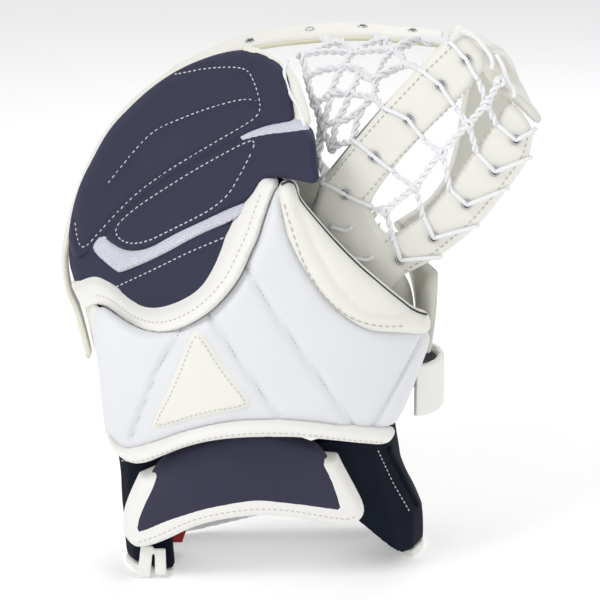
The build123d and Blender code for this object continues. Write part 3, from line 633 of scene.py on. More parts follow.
overlay = Panel("backhand_overlay", [[-144.4, 237.5], [-136.5, 234.2], [-125.9, 231.8], [-109.8, 236.6], [-89.9, 250.2], [-55, 271.2], [-36, 281.1], [-29.4, 289.5], [-24.5, 298], [-2.5, 299.6], [13.9, 297.9], [10.7, 314.4], [8.8, 331.5], [-5.2, 327.4], [-28.3, 321.5], [-43.4, 315.6], [-63.1, 304.7], [-86.7, 289.4], [-109.1, 272.9], [-130.2, 255.3]], shifted(back_y, -0.6), 11.6, NAVY, puff=4.6, edge=7, crown=2.0, wrinkle=0.4, seams=[[[-30.9, 316.8], [-40.2, 298.7], [-53.1, 277.5], [-85.5, 256.5], [-120, 235.9], [-138.2, 241.4], [-123.9, 257.3], [-91, 281.3], [-62.8, 300.5], [-35.1, 317.7], [-30.9, 316.8]]], seam_depth=1.4, seam_width=1.6)
mesh_strip = Panel("backhand_mesh", [[-144.4, 238.8], [-155.8, 227.9], [-132.7, 217.6], [-128.2, 218.6], [-100.9, 234.2], [-71.4, 254.4], [-41.3, 270.6], [-36, 281.1], [-55, 271.2], [-89.9, 250.2], [-109.8, 236.6], [-125.9, 231.8], [-136.5, 234.2]], shifted(back_y, 0.8), 9.5, GREY, puff=2.6, edge=5)
lower = Panel("backhand_lower_pad", [[-10, 363.5], [-24.4, 370.2], [-41.3, 370.8], [-58.4, 366.1], [-78.6, 357.2], [-92.9, 349.1], [-107.4, 338.9], [-121.8, 326.3], [-136.7, 310.8], [-146.9, 297.4], [-155, 282.3], [-162.5, 268.7], [-167.8, 253.8], [-171, 238.3], [-171.1, 223.3], [-169.8, 211.5], [-166.4, 205.2], [-162.2, 199.3], [-156.2, 203.8], [-147.3, 207.8], [-141.3, 207.4], [-133.6, 205.3], [-124.5, 201.4], [-111.2, 197.9], [-96.7, 201], [-80, 209.4], [-66.4, 219.8], [-56.9, 234.3], [-49.1, 252.4], [-41.2, 269.5], [-34.6, 281.8], [-29.4, 289.5], [-24.5, 298], [-2.5, 299.6], [13.9, 297.9], [10.7, 314.4], [8.8, 331.5], [-3.9, 331.6], [-3.9, 336.2], [-6.4, 349.4]], shifted(back_y, 8.3), 2.7, NAVY, puff=5.5, edge=12, crown=1.5, seams=[[[-135.9, 205.3], [-125, 212.6], [-100.6, 227.6], [-75.3, 243.6], [-47.2, 258.5]]], seam_depth=1.8, wrinkle=0.6)
sliver = Panel("backhand_mesh_sliver", [[-54.4, 310], [-44.2, 316.4], [-35.2, 321.9], [-21.5, 328], [-3.9, 334.7], [2.8, 333.5], [8.3, 330.3], [-4.9, 325.9], [-28.3, 319.5], [-42.7, 313.9]], shifted(back_y, 1.5), 8.5, GREY, puff=2.4, edge=3.5, step=2.0)
back_roll = Panel("backhand_binding", [[-168.6, 202.2], [-162.2, 193.8], [-157, 188.4], [-148.1, 194.1], [-137.8, 194.5], [-125.6, 190.1], [-113.8, 187.8], [-98.6, 189.1], [-81.9, 195.8], [-63.7, 208.8], [-51.3, 222], [-42.4, 234.3], [-35.4, 249.2], [-30.1, 259.1], [-26.4, 269.9], [-19.8, 286.8], [-14.5, 295.6], [-27.44, 298.39], [-31.64, 291.49], [-36.84, 283.79], [-43.44, 271.49], [-51.34, 254.39], [-59.14, 236.29], [-68.64, 221.79], [-82.24, 211.39], [-98.94, 202.99], [-113.44, 199.89], [-126.74, 203.39], [-135.84, 207.29], [-143.54, 209.39], [-149.54, 209.79], [-158.44, 205.79], [-164.44, 201.29]], shifted(back_y, 3.6), 9.4, BIND, puff=8.0, edge=6.4, bulge=1.5, wrinkle=0.25, step=1.5)
index_wall = Panel("index_edge_wall", [[-41.5, 373.5], [-27.4, 372.7], [-10, 367], [-2.8, 358.2], [0.7, 351.5], [4.2, 343.6], [8.2, 331.6], [-3.9, 330.6], [-3.9, 335.2], [-6.4, 348.4], [-10, 362.6], [-24.5, 369.3], [-41.4, 369.9]], shifted(back_y, 5.0), 8.0, CREAM, puff=2.0, edge=4)
settle(upper.ob, "backhand_upper_pad", slot="navy_nylon", pad=0.8)
settle(overlay.ob, "backhand_overlay", slot="navy_nylon", pad=0.7)
settle(mesh_strip.ob, "backhand_mesh", slot="mesh_fabric")
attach(sliver.ob, "fingers")
settle(lower.ob, "backhand_lower_pad", slot="navy_nylon", pad=0.8)
settle(back_roll.ob, "backhand_binding", slot="white_binding")
settle(index_wall.ob, "index_edge_wall", slot="white_leather")


def seam(name, lines, panel, material=None, body="fingers", lift=0.25, rounds=2, closed=False, bend=None, **kw):
    out = []
    for l in lines:
        p = chaikin(l, rounds, closed)
        if closed:
            p = np.vstack([p, p[:1]])
        p = resample(p, 1.0)
        out.append(panel.at(p, lift))
    ob = stitches(name, out, material or THREAD, **kw)
    if bend:
        across(ob, *bend)
    else:
        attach(ob, body)
    return ob


seam("stitch_upper_outer", [[[-93, 349], [-69.8, 356.5], [-49.8, 360.4], [-38.6, 360.7], [-34.2, 355.9], [-29.2, 344.7], [-27.8, 334.9], [-35.3, 327.8], [-56.1, 314.2], [-77.2, 299.9], [-98.5, 285.4], [-120, 268.4], [-134.4, 253.7], [-148.8, 237.7], [-159.6, 225.3], [-164.6, 231.1], [-167.5, 244.1]]], upper)
seam("stitch_upper_middle", [[[-29.9, 341], [-36.9, 342], [-49.5, 338.5], [-70.7, 329.8], [-92.3, 319.2], [-106.7, 311.5], [-118.2, 300.4], [-131.1, 284.8], [-142.6, 270.6]]], upper)
seam("stitch_lower", [[[-135.9, 205.3], [-125, 212.6], [-100.6, 227.6], [-75.3, 243.6], [-47.2, 258.5]]], lower)
seam("stitch_overlay", [[[-30.9, 316.8], [-40.2, 298.7], [-53.1, 277.5], [-85.5, 256.5], [-120, 235.9], [-138.2, 241.4], [-123.9, 257.3], [-91, 281.3], [-62.8, 300.5], [-35.1, 317.7]]], overlay, closed=True)

# helper for the far side wall of the hand, between the backhand and the palm; nothing in this script calls it
def side_wall(name, line, ya, yb, material, body, inset_by=0.0, puff=1.5, bend=None, rows=9, slot="white_leather"):
    """A soft wall standing on a line in XZ, between two surfaces, with a slight swell."""
    p = resample(chaikin(line, 2, False), 2.5)
    t = np.gradient(p, axis=0)
    t /= np.linalg.norm(t, axis=1)[:, None] + 1e-9
    nrm = np.stack([t[:, 1], -t[:, 0]], 1)
    V, F = [], []
    n = len(p)
    for side in (0, 1):
        for k in range(rows):
            fr = k / (rows - 1)
            q = p + nrm * (puff * math.sin(math.pi * fr) - side * 3.0)
            a, b = ya(p[:, 0], p[:, 1]), yb(p[:, 0], p[:, 1])
            V.append(np.stack([q[:, 0], a * (1 - fr) + b * fr, q[:, 1]], 1))
    V = np.vstack(V)

    def g(s, k, i):
        return (s * rows + k) * n + i
    for k in range(rows - 1):
        for i in range(n - 1):
            F.append((g(0, k, i), g(0, k, i + 1), g(0, k + 1, i + 1), g(0, k + 1, i)))
            F.append((g(1, k, i), g(1, k + 1, i), g(1, k + 1, i + 1), g(1, k, i + 1)))
        F.append((g(0, k, 0), g(0, k + 1, 0), g(1, k + 1, 0), g(1, k, 0)))
        F.append((g(0, k, n - 1), g(1, k, n - 1), g(1, k + 1, n - 1), g(0, k + 1, n - 1)))
    for i in range(n - 1):
        F.append((g(0, 0, i), g(1, 0, i), g(1, 0, i + 1), g(0, 0, i + 1)))
        F.append((g(0, rows - 1, i), g(0, rows - 1, i + 1), g(1, rows - 1, i + 1), g(1, rows - 1, i)))
    ob = outward(new(name, V, F, material))
    if bend:
        across(ob, *bend)
    else:
        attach(ob, body)
    return ob


# ---------------------------------------------------------------------- palm
def palm_panel(name, outline, node, bend=WIDE, seams=()):
    p = Panel(name, outline, shifted(palm_y, -9.0), 6.0, CREAM, puff=4.0, edge=10, seams=seams, step=3.0)
    co = np.array([v.co for v in p.ob.data.vertices]) * 1000 - np.array([DX, DY, 0])
    q = co[:, [0, 2]]
    mid = palm_y(q[:, 0], q[:, 1]) - 5.0
    back = co[:, 1] > mid
    d = dist(q, p.rim, True)
    t = np.clip(d / 10.0, 0, 1)
    up = 3.0 * np.sqrt(np.maximum(0, 1 - (1 - t) ** 2))
    for s in p.seams:
        up -= 1.6 * np.exp(-((dist(q, s) / 2.0) ** 2))
    co[:, 1] += np.where(back, up, 0)
    co = (co + np.array([DX, DY, 0])) / 1000
    p.ob.data.vertices.foreach_set("co", co.ravel())
    p.ob.data.update()
    settle(p.ob, node, slot="cream_leather", pad=0.5, bend=bend)
    return p


palm_f = palm_panel("palm_fingers", [[51, 264.6], [9.5, 300], [5, 325], [-3, 349], [-16, 362], [-43.6, 364.5], [-64.7, 355.3], [-88.3, 341.7], [-118.4, 319.1], [-143.1, 290.1], [-160.4, 254.6], [-169, 218.4], [-170.3, 203], [-166.8, 193.4], [-161.9, 185.7], [-157.1, 173.7], [-152, 150], [-143, 128], [-112, 112], [-80, 107], [-80.6, 116.6]], "palm_fingers", seams=[[[-95, 190], [-60, 215], [-20, 250], [20, 275]], [[-125, 235], [-80, 265], [-35, 300], [0, 325]], [[-60, 150], [-20, 190], [20, 235]]])
palm_t = palm_panel("palm_thumb", [[58.6, 257.8], [55.7, 244.3], [66, 226], [72, 218], [80, 205], [83, 185], [83, 165], [80, 150], [70, 128], [52, 112], [20, 104], [-40, 102], [-70, 104], [-74.3, 108.4]], "palm_thumb", seams=[[[10, 150], [40, 185], [70, 215]]])
brk = Panel("palm_break", [[52, 263.6], [57.7, 258.6], [-73.9, 110.7], [-78.3, 117.2]], shifted(palm_y, -9.5), 6.5, CREAM, puff=1.0, edge=4)
settle(brk.ob, "palm_break", slot="cream_leather", bend=WIDE)
foam_f = Panel("palm_foam_fingers", [[14, 230.5], [-17.4, 258.4], [-35.6, 304.1], [-60, 330], [-110, 300], [-140, 262], [-148, 220], [-140, 160], [-110, 130], [-74.4, 131.2]], shifted(palm_y, -19.0), 4.6, FOAM, puff=0.8, edge=3, step=4)
foam_t = Panel("palm_foam_thumb", [[21.1, 205.4], [50, 190], [70, 184], [72, 165], [62, 135], [45, 122], [10, 116], [-40, 114], [-60, 114.3]], shifted(palm_y, -19.0), 4.6, FOAM, puff=0.8, edge=3, step=4)
settle(foam_f.ob, "palm_foam_fingers", slot="foam")
settle(foam_t.ob, "palm_foam_thumb", slot="foam")

# ---------------------------------------------------------------------- cuff
cuff = Panel("cuff_pad", [[-14.2, 292.7], [-17.5, 287], [-24.1, 269.6], [-27.9, 258.3], [-33.2, 248.3], [-40.2, 232.7], [-49.3, 220.1], [-62.3, 206.5], [-80.8, 194], [-97.8, 188.7], [-110.4, 188.4], [-121.2, 192.1], [-131.8, 197.4], [-139.3, 201.1], [-145.1, 198.4], [-147.4, 176.3], [-143.8, 158.5], [-142.3, 140], [-140.7, 121.4], [-140, 111.5], [-129.5, 100.4], [-116.2, 103.2], [-97.5, 112.6], [-79.1, 122], [-52, 129.2], [-25.1, 131.5], [1.6, 129.9], [28.6, 124.3], [65.1, 116.6], [73.3, 128.2], [78.7, 140.2], [84.2, 153.9], [88.4, 164], [90.7, 169], [92.5, 175.9], [90.4, 182.6], [68, 189.5], [51.7, 192], [39, 198.8], [24.7, 210.8], [12.3, 225.7], [1.6, 241.7], [-7.2, 258.9], [-9.1, 265.2], [-13.1, 282.7]], shifted(cuff_y, 5.0), 9.0, WHITE, puff=5.0, edge=9, crown=0.6,
             seams=[[[-81.9, 196.3], [-96.7, 171.3], [-109.4, 139.6], [-119.8, 111.1]], [[-64.7, 208.2], [-42.7, 174.2], [-16.2, 135.1]], [[-37.2, 238.7], [-16.1, 205.4], [10.5, 165.8], [37.6, 123.4]], [[85.9, 179.9], [72.1, 156.9], [50.3, 120.9]]], seam_depth=2.6, seam_width=1.9, wrinkle=0.7)
settle(cuff.ob, "cuff_pad", slot="white_leather", pad=0.75)
on_cuff = lambda x, z: cuff.y(np.stack([np.atleast_1d(x), np.atleast_1d(z)], 1))
patch = Panel("cuff_patch", [[-75, 193.5], [-72.2, 196.2], [-68.7, 194.6], [-52.2, 169.3], [-34.9, 145.7], [-35.6, 142], [-70, 134.2], [-102.3, 121.5], [-104.4, 124.2], [-91, 153.7]], shifted(on_cuff, -0.6), 1.6, CREAM, puff=1.7, edge=3.0, step=2.0)
settle(patch.ob, "cuff_patch", slot="cream_leather")
cuff_roll = Panel("cuff_bottom_binding", [[-139.9, 113], [-129.5, 100.4], [-116.2, 103.2], [-97.5, 112.6], [-79.1, 122], [-52, 129.2], [-25.1, 131.5], [1.6, 129.9], [28.6, 124.3], [65.1, 116.6], [66.9, 112], [61.5, 106.2], [43.1, 110.5], [19.6, 115.6], [-7.3, 119], [-32.3, 119.3], [-57.5, 116.7], [-79.2, 110.7], [-97.7, 101.2], [-110.7, 93.6], [-122, 91.6], [-132.5, 96.8], [-138.1, 106.8]], shifted(cuff_y, 3.0), 12.0, BIND, puff=6.0, edge=5.0, bulge=1.5, wrinkle=0.25, step=1.6)
settle(cuff_roll.ob, "cuff_bottom_binding", slot="white_binding")
cover = Panel("thumb_cover", [[-15.1, 292.8], [-13.1, 282.7], [-9.1, 265.2], [-7.2, 258.9], [1.6, 241.7], [12.3, 225.7], [24.7, 210.8], [39, 198.8], [51.7, 192], [68, 189.5], [90.4, 182.6], [93, 186.1], [90.6, 196.5], [80.7, 201.4], [70.4, 211.5], [55.4, 225.5], [40.5, 239.4], [24.8, 255.6], [11.2, 271], [-1.4, 285.5], [-1.5, 290.5], [-3.4, 295], [-8.3, 296.9]], shifted(cuff_y, -0.5), 13.5, CREAM, puff=5.0, edge=10, crown=0.5,
              seams=[[[-1.5, 280.6], [4.4, 268.7], [11.1, 253.7], [20.9, 235.4], [32.6, 219.2], [46.3, 206.2], [60.3, 202.5], [80.5, 200.8]]], seam_depth=1.6, seam_width=1.8, wrinkle=0.4)
settle(cover.ob, "thumb_cover", slot="cream_leather", pad=0.7)
# thumb wall in cream leather with painted shade, standing for the shaded gap behind the thumb cover
twall = Panel("thumb_wall", [[-11.2, 284.7], [-9.8, 290.5], [-5.6, 290.5], [-3.5, 281.3], [9.1, 266.6], [23.1, 250.9], [39.2, 234.5], [54.2, 220.6], [69.4, 206.3], [78.2, 198.1], [72.4, 192], [60.8, 196.9], [46.9, 201], [32.9, 214.3], [21.1, 230.7], [11.2, 249.3], [4.4, 264.5], [-5.6, 274.2]], shifted(cuff_y, 15.0), lambda x, z: -11.5 - cuff_y(x, z) - 15.0, CREAM_PAINTED_SHADE, puff=0.5, edge=4)
settle(twall.ob, "thumb_wall", slot="cream_leather")
seam("stitch_cuff", [[[-81.9, 196.3], [-96.7, 171.3], [-109.4, 139.6], [-119.8, 111.1]], [[-64.7, 208.2], [-42.7, 174.2], [-16.2, 135.1]], [[-37.2, 238.7], [-16.1, 205.4], [10.5, 165.8], [37.6, 123.4]], [[85.9, 179.9], [72.1, 156.9], [50.3, 120.9]]], cuff, THREADG, body="cuff", length=1.3, gap=2.4, r=0.34, lift=0.1)
seam("stitch_patch", [[[-74.6, 190.3], [-72.1, 193], [-68.9, 191.4], [-54.9, 167.6], [-37.9, 146.7], [-38.5, 143.3], [-70.1, 137.4], [-100.2, 123.9], [-102.1, 126.4], [-87.9, 154.3]]], patch, THREADC, body="cuff", length=2.0, gap=1.6, r=0.3, closed=True, lift=0.15, rounds=1)
seam("stitch_cuff_binding", [[[-128, 93.1], [-113.5, 96.2], [-94.1, 105.9], [-76.5, 115], [-50.7, 121.8], [-25, 124], [0.6, 122.5], [27.1, 117], [62.8, 109.5], [59.9, 109.3]]], cuff_roll, THREADC, body="cuff", length=2.4, gap=1.8, r=0.36, lift=0.1)
seam("stitch_back_binding", [[[-148.4, 201.6], [-136.5, 201.9], [-123.6, 197.3], [-113.5, 195.3], [-100.4, 196.4], [-85.6, 202.3], [-68.6, 214.5], [-57.1, 226.8], [-48.9, 238.1], [-42.1, 252.5], [-37, 262.1], [-33.4, 272.5], [-26.8, 289.5]]], back_roll, THREADC, body="fingers", length=2.4, gap=1.8, r=0.36, lift=0.1)
seam("stitch_thumb_cover", [[[-11.1, 283.5], [-6.9, 270.5], [-2.1, 256], [4.8, 238.4], [13.8, 223.1], [26.3, 209.9], [40.3, 201.7], [55.9, 196.3], [76, 193.6]]], cover, THREADC, body="cuff", length=3.6, gap=2.0)

# black piping along the upper edge of the thumb cover
pipe = cover.at(resample(chaikin([[-13.1, 295.3], [-8.3, 297.2], [-3.4, 295.3], [-1.5, 285.9], [11.1, 271.4], [24.8, 256.1], [40.4, 240], [55.2, 226], [70.2, 212.1], [80.5, 202.1], [89.9, 197.5]], 3, False), 1.6), -1.6)
ob = merge("thumb_cover_piping", [tube_geo(pipe, 0.75, 8)], BLACK)
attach(ob, "cuff")


def stations(name, list_, thick, material, node, slot, bend=None, crown=0.25, pad=None):
    ob, mid, w, up, L = band(name, list_, thick, material, crown=crown)
    settle(ob, node, slot=slot, bend=bend, pad=pad)
    return mid, w, up, L


# thumb side panel and thumb leaf: cream leather with painted shade on their faces that turn away from the light
side = stations("thumb_side_panel", [[[91, -7, 163], [88, 44, 160]], [[94, -6, 180], [89, 42, 178]], [[97, -1, 202], [85, 38, 205]], [[98, 8, 218], [75, 37, 231]]], 7.0, CREAM_PAINTED_SHADE, "thumb_side_panel", "cream_leather", pad=0.5)
LEAF_F, LEAF_B = [[71.5, 38, 246.2], [96, 62, 255.7], [111.5, 80, 271.4], [118.6, 92, 291.7], [123.1, 98, 317.1], [125.9, 101, 336.9], [133.8, 100, 350.6]], [[98.3, 14, 228.2], [110.2, 24, 239.1], [129.8, 40, 261.5], [143.5, 55, 288.1], [152.6, 66, 313.5], [156.1, 78, 333.6], [151.6, 90, 346.4]]


def inset(p, q, d):
    p, q = np.array(p, float), np.array(q, float)
    return p + (q - p) / np.linalg.norm(q - p) * d


leaf = stations("thumb_leaf", [(inset(a, b, 2.0), b) for a, b in zip(LEAF_F, LEAF_B)], 9.0, CREAM_PAINTED_SHADE, "thumb_leaf", "cream_leather", pad=0.7)
lp = smooth_line(LEAF_F, 1.8)
ob = merge("thumb_rim_binding", [tube_geo(lp, 4.0, 14)], BIND)
settle(ob, "thumb_rim_binding", slot="white_binding")
rim = stations("finger_rim", [[[-155.8, 28.6, 149.8], [-158.3, 54.6, 150.8]], [[-162.1, 38.4, 172.7], [-164.6, 64.4, 173.7]], [[-166.9, 45.6, 184.7], [-169.4, 71.6, 185.7]], [[-171.8, 51.9, 192.4], [-174.3, 77.9, 193.4]], [[-175.3, 66.2, 208.5], [-177.8, 87.7, 209.5]], [[-174, 76.1, 223.9], [-176.5, 94.7, 224.9]], [[-163.9, 93.5, 260.1], [-166.4, 108.8, 261.1]], [[-146.6, 105.8, 295.6], [-149.1, 119.9, 296.6]], [[-121.9, 106.7, 324.6], [-124.4, 120.8, 325.6]], [[-91.8, 98.1, 347.2], [-94.3, 113, 348.2]], [[-93.2, 90, 344.9], [-94.5, 118, 349.2]], [[-70.3, 94, 356.2], [-71.3, 121, 360.3]], [[-43.7, 96, 366.3], [-44.2, 122, 372.4]], [[-18.5, 96, 371.5], [-22.5, 122, 377.4]], [[0, 95, 373.4], [6, 121, 380.8]], [[24.3, 93, 376.1], [29.9, 119, 382.3]], [[48.6, 90, 377.3], [53, 116, 381.4]], [[75.7, 85, 375.6], [84.1, 111, 379.6]], [[104.8, 80, 373.3], [106.2, 106, 377.4]]], 4.4, CREAM, "finger_rim", "cream_leather", crown=0.3)

near = smooth_line([s[0] for s in [[[-155.8, 28.6, 149.8], [-158.3, 54.6, 150.8]], [[-162.1, 38.4, 172.7], [-164.6, 64.4, 173.7]], [[-166.9, 45.6, 184.7], [-169.4, 71.6, 185.7]], [[-171.8, 51.9, 192.4], [-174.3, 77.9, 193.4]], [[-175.3, 66.2, 208.5], [-177.8, 87.7, 209.5]], [[-174, 76.1, 223.9], [-176.5, 94.7, 224.9]], [[-163.9, 93.5, 260.1], [-166.4, 108.8, 261.1]], [[-146.6, 105.8, 295.6], [-149.1, 119.9, 296.6]], [[-121.9, 106.7, 324.6], [-124.4, 120.8, 325.6]], [[-91.8, 98.1, 347.2], [-94.3, 113, 348.2]], [[-93.2, 90, 344.9], [-94.5, 118, 349.2]], [[-70.3, 94, 356.2], [-71.3, 121, 360.3]], [[-43.7, 96, 366.3], [-44.2, 122, 372.4]], [[-18.5, 96, 371.5], [-22.5, 122, 377.4]], [[0, 95, 373.4], [6, 121, 380.8]], [[24.3, 93, 376.1], [29.9, 119, 382.3]], [[48.6, 90, 377.3], [53, 116, 381.4]], [[75.7, 85, 375.6], [84.1, 111, 379.6]], [[104.8, 80, 373.3], [106.2, 106, 377.4]]]], 2.0, 2)
layers = [tube_geo(near + np.array([0, 0.6, -1.0]), 1.25, 10), tube_geo(near + np.array([0, 3.4, -2.4]), 1.15, 10)]
ob = merge("finger_rim_edge", layers, EDGE)
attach(ob, "fingers")

# eyelets along the finger rim
RIMS = [[[-155.8, 28.6, 149.8], [-158.3, 54.6, 150.8]], [[-162.1, 38.4, 172.7], [-164.6, 64.4, 173.7]], [[-166.9, 45.6, 184.7], [-169.4, 71.6, 185.7]], [[-171.8, 51.9, 192.4], [-174.3, 77.9, 193.4]], [[-175.3, 66.2, 208.5], [-177.8, 87.7, 209.5]], [[-174, 76.1, 223.9], [-176.5, 94.7, 224.9]], [[-163.9, 93.5, 260.1], [-166.4, 108.8, 261.1]], [[-146.6, 105.8, 295.6], [-149.1, 119.9, 296.6]], [[-121.9, 106.7, 324.6], [-124.4, 120.8, 325.6]], [[-91.8, 98.1, 347.2], [-94.3, 113, 348.2]], [[-93.2, 90, 344.9], [-94.5, 118, 349.2]], [[-70.3, 94, 356.2], [-71.3, 121, 360.3]], [[-43.7, 96, 366.3], [-44.2, 122, 372.4]], [[-18.5, 96, 371.5], [-22.5, 122, 377.4]], [[0, 95, 373.4], [6, 121, 380.8]], [[24.3, 93, 376.1], [29.9, 119, 382.3]], [[48.6, 90, 377.3], [53, 116, 381.4]], [[75.7, 85, 375.6], [84.1, 111, 379.6]], [[104.8, 80, 373.3], [106.2, 106, 377.4]]]
mid = smooth_line([[(a + b) / 2 for a, b in zip(s[0], s[1])] for s in RIMS], 2.0, 2)


def ring_geo(c, normal, R=3.3, r=0.95, up=None, gap=0.0):
    n = Vector(normal).normalized()
    q = n.to_track_quat("Z", "Y")
    pts = []
    m = 26
    for i in range(m + 1):
        a = gap / 2 + (2 * math.pi - gap) * i / m
        v = q @ Vector((R * math.cos(a), R * math.sin(a), 0))
        pts.append((c[0] + v.x, c[1] + v.y, c[2] + v.z))
    return tube_geo(pts, r, 8)


def disc_geo(c, normal, R=2.7, h=0.5):
    n = Vector(normal).normalized()
    q = n.to_track_quat("Z", "Y")
    V, F = [], []
    for k in (-h, h):
        for i in range(20):
            a = 2 * math.pi * i / 20
            v = q @ Vector((R * math.cos(a), R * math.sin(a), k))
            V.append((c[0] + v.x, c[1] + v.y, c[2] + v.z))
    for i in range(20):
        F.append((i, (i + 1) % 20, 20 + (i + 1) % 20, 20 + i))
    F += [tuple(reversed(range(20))), tuple(range(20, 40))]
    return V, F


# soft gusset behind the seam between the backhand and the cuff
gus = Panel("backhand_gusset", [[-148.9, 214.1], [-134.3, 214.2], [-120.2, 209.4], [-113.1, 207.8], [-103.5, 208.5], [-91.7, 213.2], [-76.7, 224], [-66.6, 234.8], [-59.7, 244.4], [-53.3, 258.1], [-48.4, 267.1], [-45.1, 276.9], [-37.9, 295.2], [-31.6, 305.9], [-3.4, 288.9], [-8, 281.3], [-14.2, 265.4], [-18.2, 253.9], [-23.8, 243.4], [-31.2, 227.7], [-41.3, 213.7], [-55.2, 198.9], [-75.5, 184.5], [-95.4, 176.5], [-114.3, 174.8], [-129.1, 177.6], [-140.1, 181.7], [-147.6, 181.1]], lambda x, z: np.maximum(back_y(x, z) + 12.5, cuff_y(x, z) + 17.5), 1.4, NAVY2,
            puff=0.3, edge=3, wrinkle=0.5, step=3.0)
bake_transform(gus.ob)


# soft side gusset on the little finger side, from the cuff's edge to the palm
sg, *_ = band("side_gusset", [((-143, -10, 196), (-161, 50, 190)), ((-144, -9, 176), (-155, 42, 172)),
                              ((-141, -12, 158), (-150, 35, 150)), ((-139, -14, 140), (-143, 29, 131)),
                              ((-138, -15, 121), (-134, 25, 120)), ((-136, -16, 112), (-126, 21, 113))], 2.4, CREAM, crown=0.2)
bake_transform(sg)


def palm_rows(name, lines):
    out = []
    for l in lines:
        q = resample(chaikin(l, 2, False), 1.0)
        out.append(np.stack([q[:, 0], palm_y(q[:, 0], q[:, 1]) - 1.2, q[:, 1]], 1))
    ob = stitches(name, out, THREADC, length=3.0, gap=1.8, r=0.45)
    across(ob, *WIDE)


palm_rows("stitch_palm", [[[-95, 190], [-60, 215], [-20, 250], [20, 275]], [[-125, 235], [-80, 265], [-35, 300], [0, 325]], [[-60, 150], [-20, 190], [20, 235]], [[10, 150], [40, 185], [70, 215]]])

# -------------------------------------------------------------------- double-T
def strap_panel(name, outline, node):
    p = Panel(name, outline, shifted(strap_y, 1.6), 4.8, CREAM, puff=1.9, edge=5, crown=0.4, step=2.2, bulge=0.8, rounds=1)
    settle(p.ob, node, slot="cream_leather", bend=WIDE)
    return p


ts_l = strap_panel("double_t", [[59.1, 199.9], [28.7, 229.1], [8, 252.2], [8, 265.3], [11.5, 272.8], [15.3, 287.5], [23.5, 298.7], [40.9, 320.7], [58.2, 342.2], [81.3, 366.7], [102.1, 388.4], [114.8, 394], [132.4, 374.7], [121.9, 361.3], [108, 346.5], [87.3, 325.5], [67.8, 302.9], [51.7, 279.6], [49.4, 272.2], [50.6, 263.6], [56.6, 253.8], [63.8, 249.6], [70.8, 251.6], [87, 263], [104.3, 283.9], [114.5, 298.3], [128.2, 318.3], [139.7, 334.5], [146.6, 345.2], [155, 338.8], [164.7, 324.3], [160.6, 302.9], [145.7, 281.6], [123.9, 253.6], [99.5, 233.7], [96.8, 232.5], [81.9, 223.9], [71.9, 218.4]], "t_strap_fingers")
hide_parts("t_strap_thumb")
ts_r = ts_l
ob, *_ = band("t_crossbar", [[[104, 1.5, 393], [134.5, 1.5, 380]], [[108, 14, 396.5], [138, 12, 379]], [[113, 34, 393], [145, 31, 375]], [[119, 54, 383], [152, 50, 366]], [[126, 64, 370], [158, 58, 354]], [[134, 58, 356], [163, 52, 343]], [[141, 38, 350], [167, 34, 334]], [[149, 14, 350], [170, 12, 331]], [[150.5, -1, 350.5], [169.5, -1, 331]]], 5.6, CREAM, crown=0.25)
settle(ob, "t_crossbar", slot="cream_leather", bend=WIDE)


def eyelets(name, pts, node, body):
    rings, holes = [], []
    for x, y, z in pts:
        e = 0.5
        gx = float(strap_y(x + e, z) - strap_y(x - e, z)) / (2 * e)
        gz = float(strap_y(x, z + e) - strap_y(x, z - e)) / (2 * e)
        n = (gx, -1, gz)
        rings.append(ring_geo((x, y - 2.3, z), n, 3.0, 0.95))
        # a dark disc of painted shade in each eyelet hole
        holes.append(disc_geo((x, y - 1.9, z), n, 2.6, 0.3))
    a = merge(name, rings, STEEL)
    settle(a, node, slot="eyelet_metal", bend=WIDE)
    b = merge(name + "_hole_shade", holes, HOLE_SHADE)
    across(b, *WIDE)


EYE_L, EYE_R = [[32.3, -6.5, 280], [52, -9.8, 308.3], [75.7, -10.8, 335.2], [98.1, -8.9, 359], [116, -5.7, 376.6]], [[71.7, -5.5, 231.9], [95, -8.8, 249.1], [118, -11.2, 273.9], [137.5, -11, 297.8], [151.8, -9.2, 320]]
eyelets("t_eyelets_fingers", EYE_L, "t_eyelets_fingers", "fingers")
eyelets("t_eyelets_thumb", EYE_R, "t_eyelets_thumb", "cuff")
seam("stitch_t", [[[18.2, 285.1], [40.2, 315.9], [61.1, 339.9], [86.4, 366.6], [107.2, 386]], [[43.9, 276.2], [64.1, 301.5], [87, 325.4], [110, 347.8], [122.5, 359.5]]], ts_l, THREADC, bend=WIDE, length=2.8, gap=1.7, r=0.42)
seam("stitch_t_thumb", [[[59.8, 244.6], [79.4, 262.2], [103, 286.7], [122.4, 311.8], [136.2, 331.5]], [[74.5, 222.3], [97.7, 238.5], [122.2, 261], [142.9, 287.3], [158.1, 309.3], [161.2, 325]]], ts_r, THREADC, bend=WIDE, length=2.8, gap=1.7, r=0.42)
edge_line = ts_l.at(resample(chaikin([[8.6, 264.2], [15.3, 287.6], [37.4, 318.3], [58.3, 342.3], [83.6, 369.1], [103, 387.4]], 2, False), 1.6), -1.2)
ob = merge("t_edge_line", [tube_geo(edge_line, 0.45, 8)], GREYEDGE)
across(ob, *WIDE)

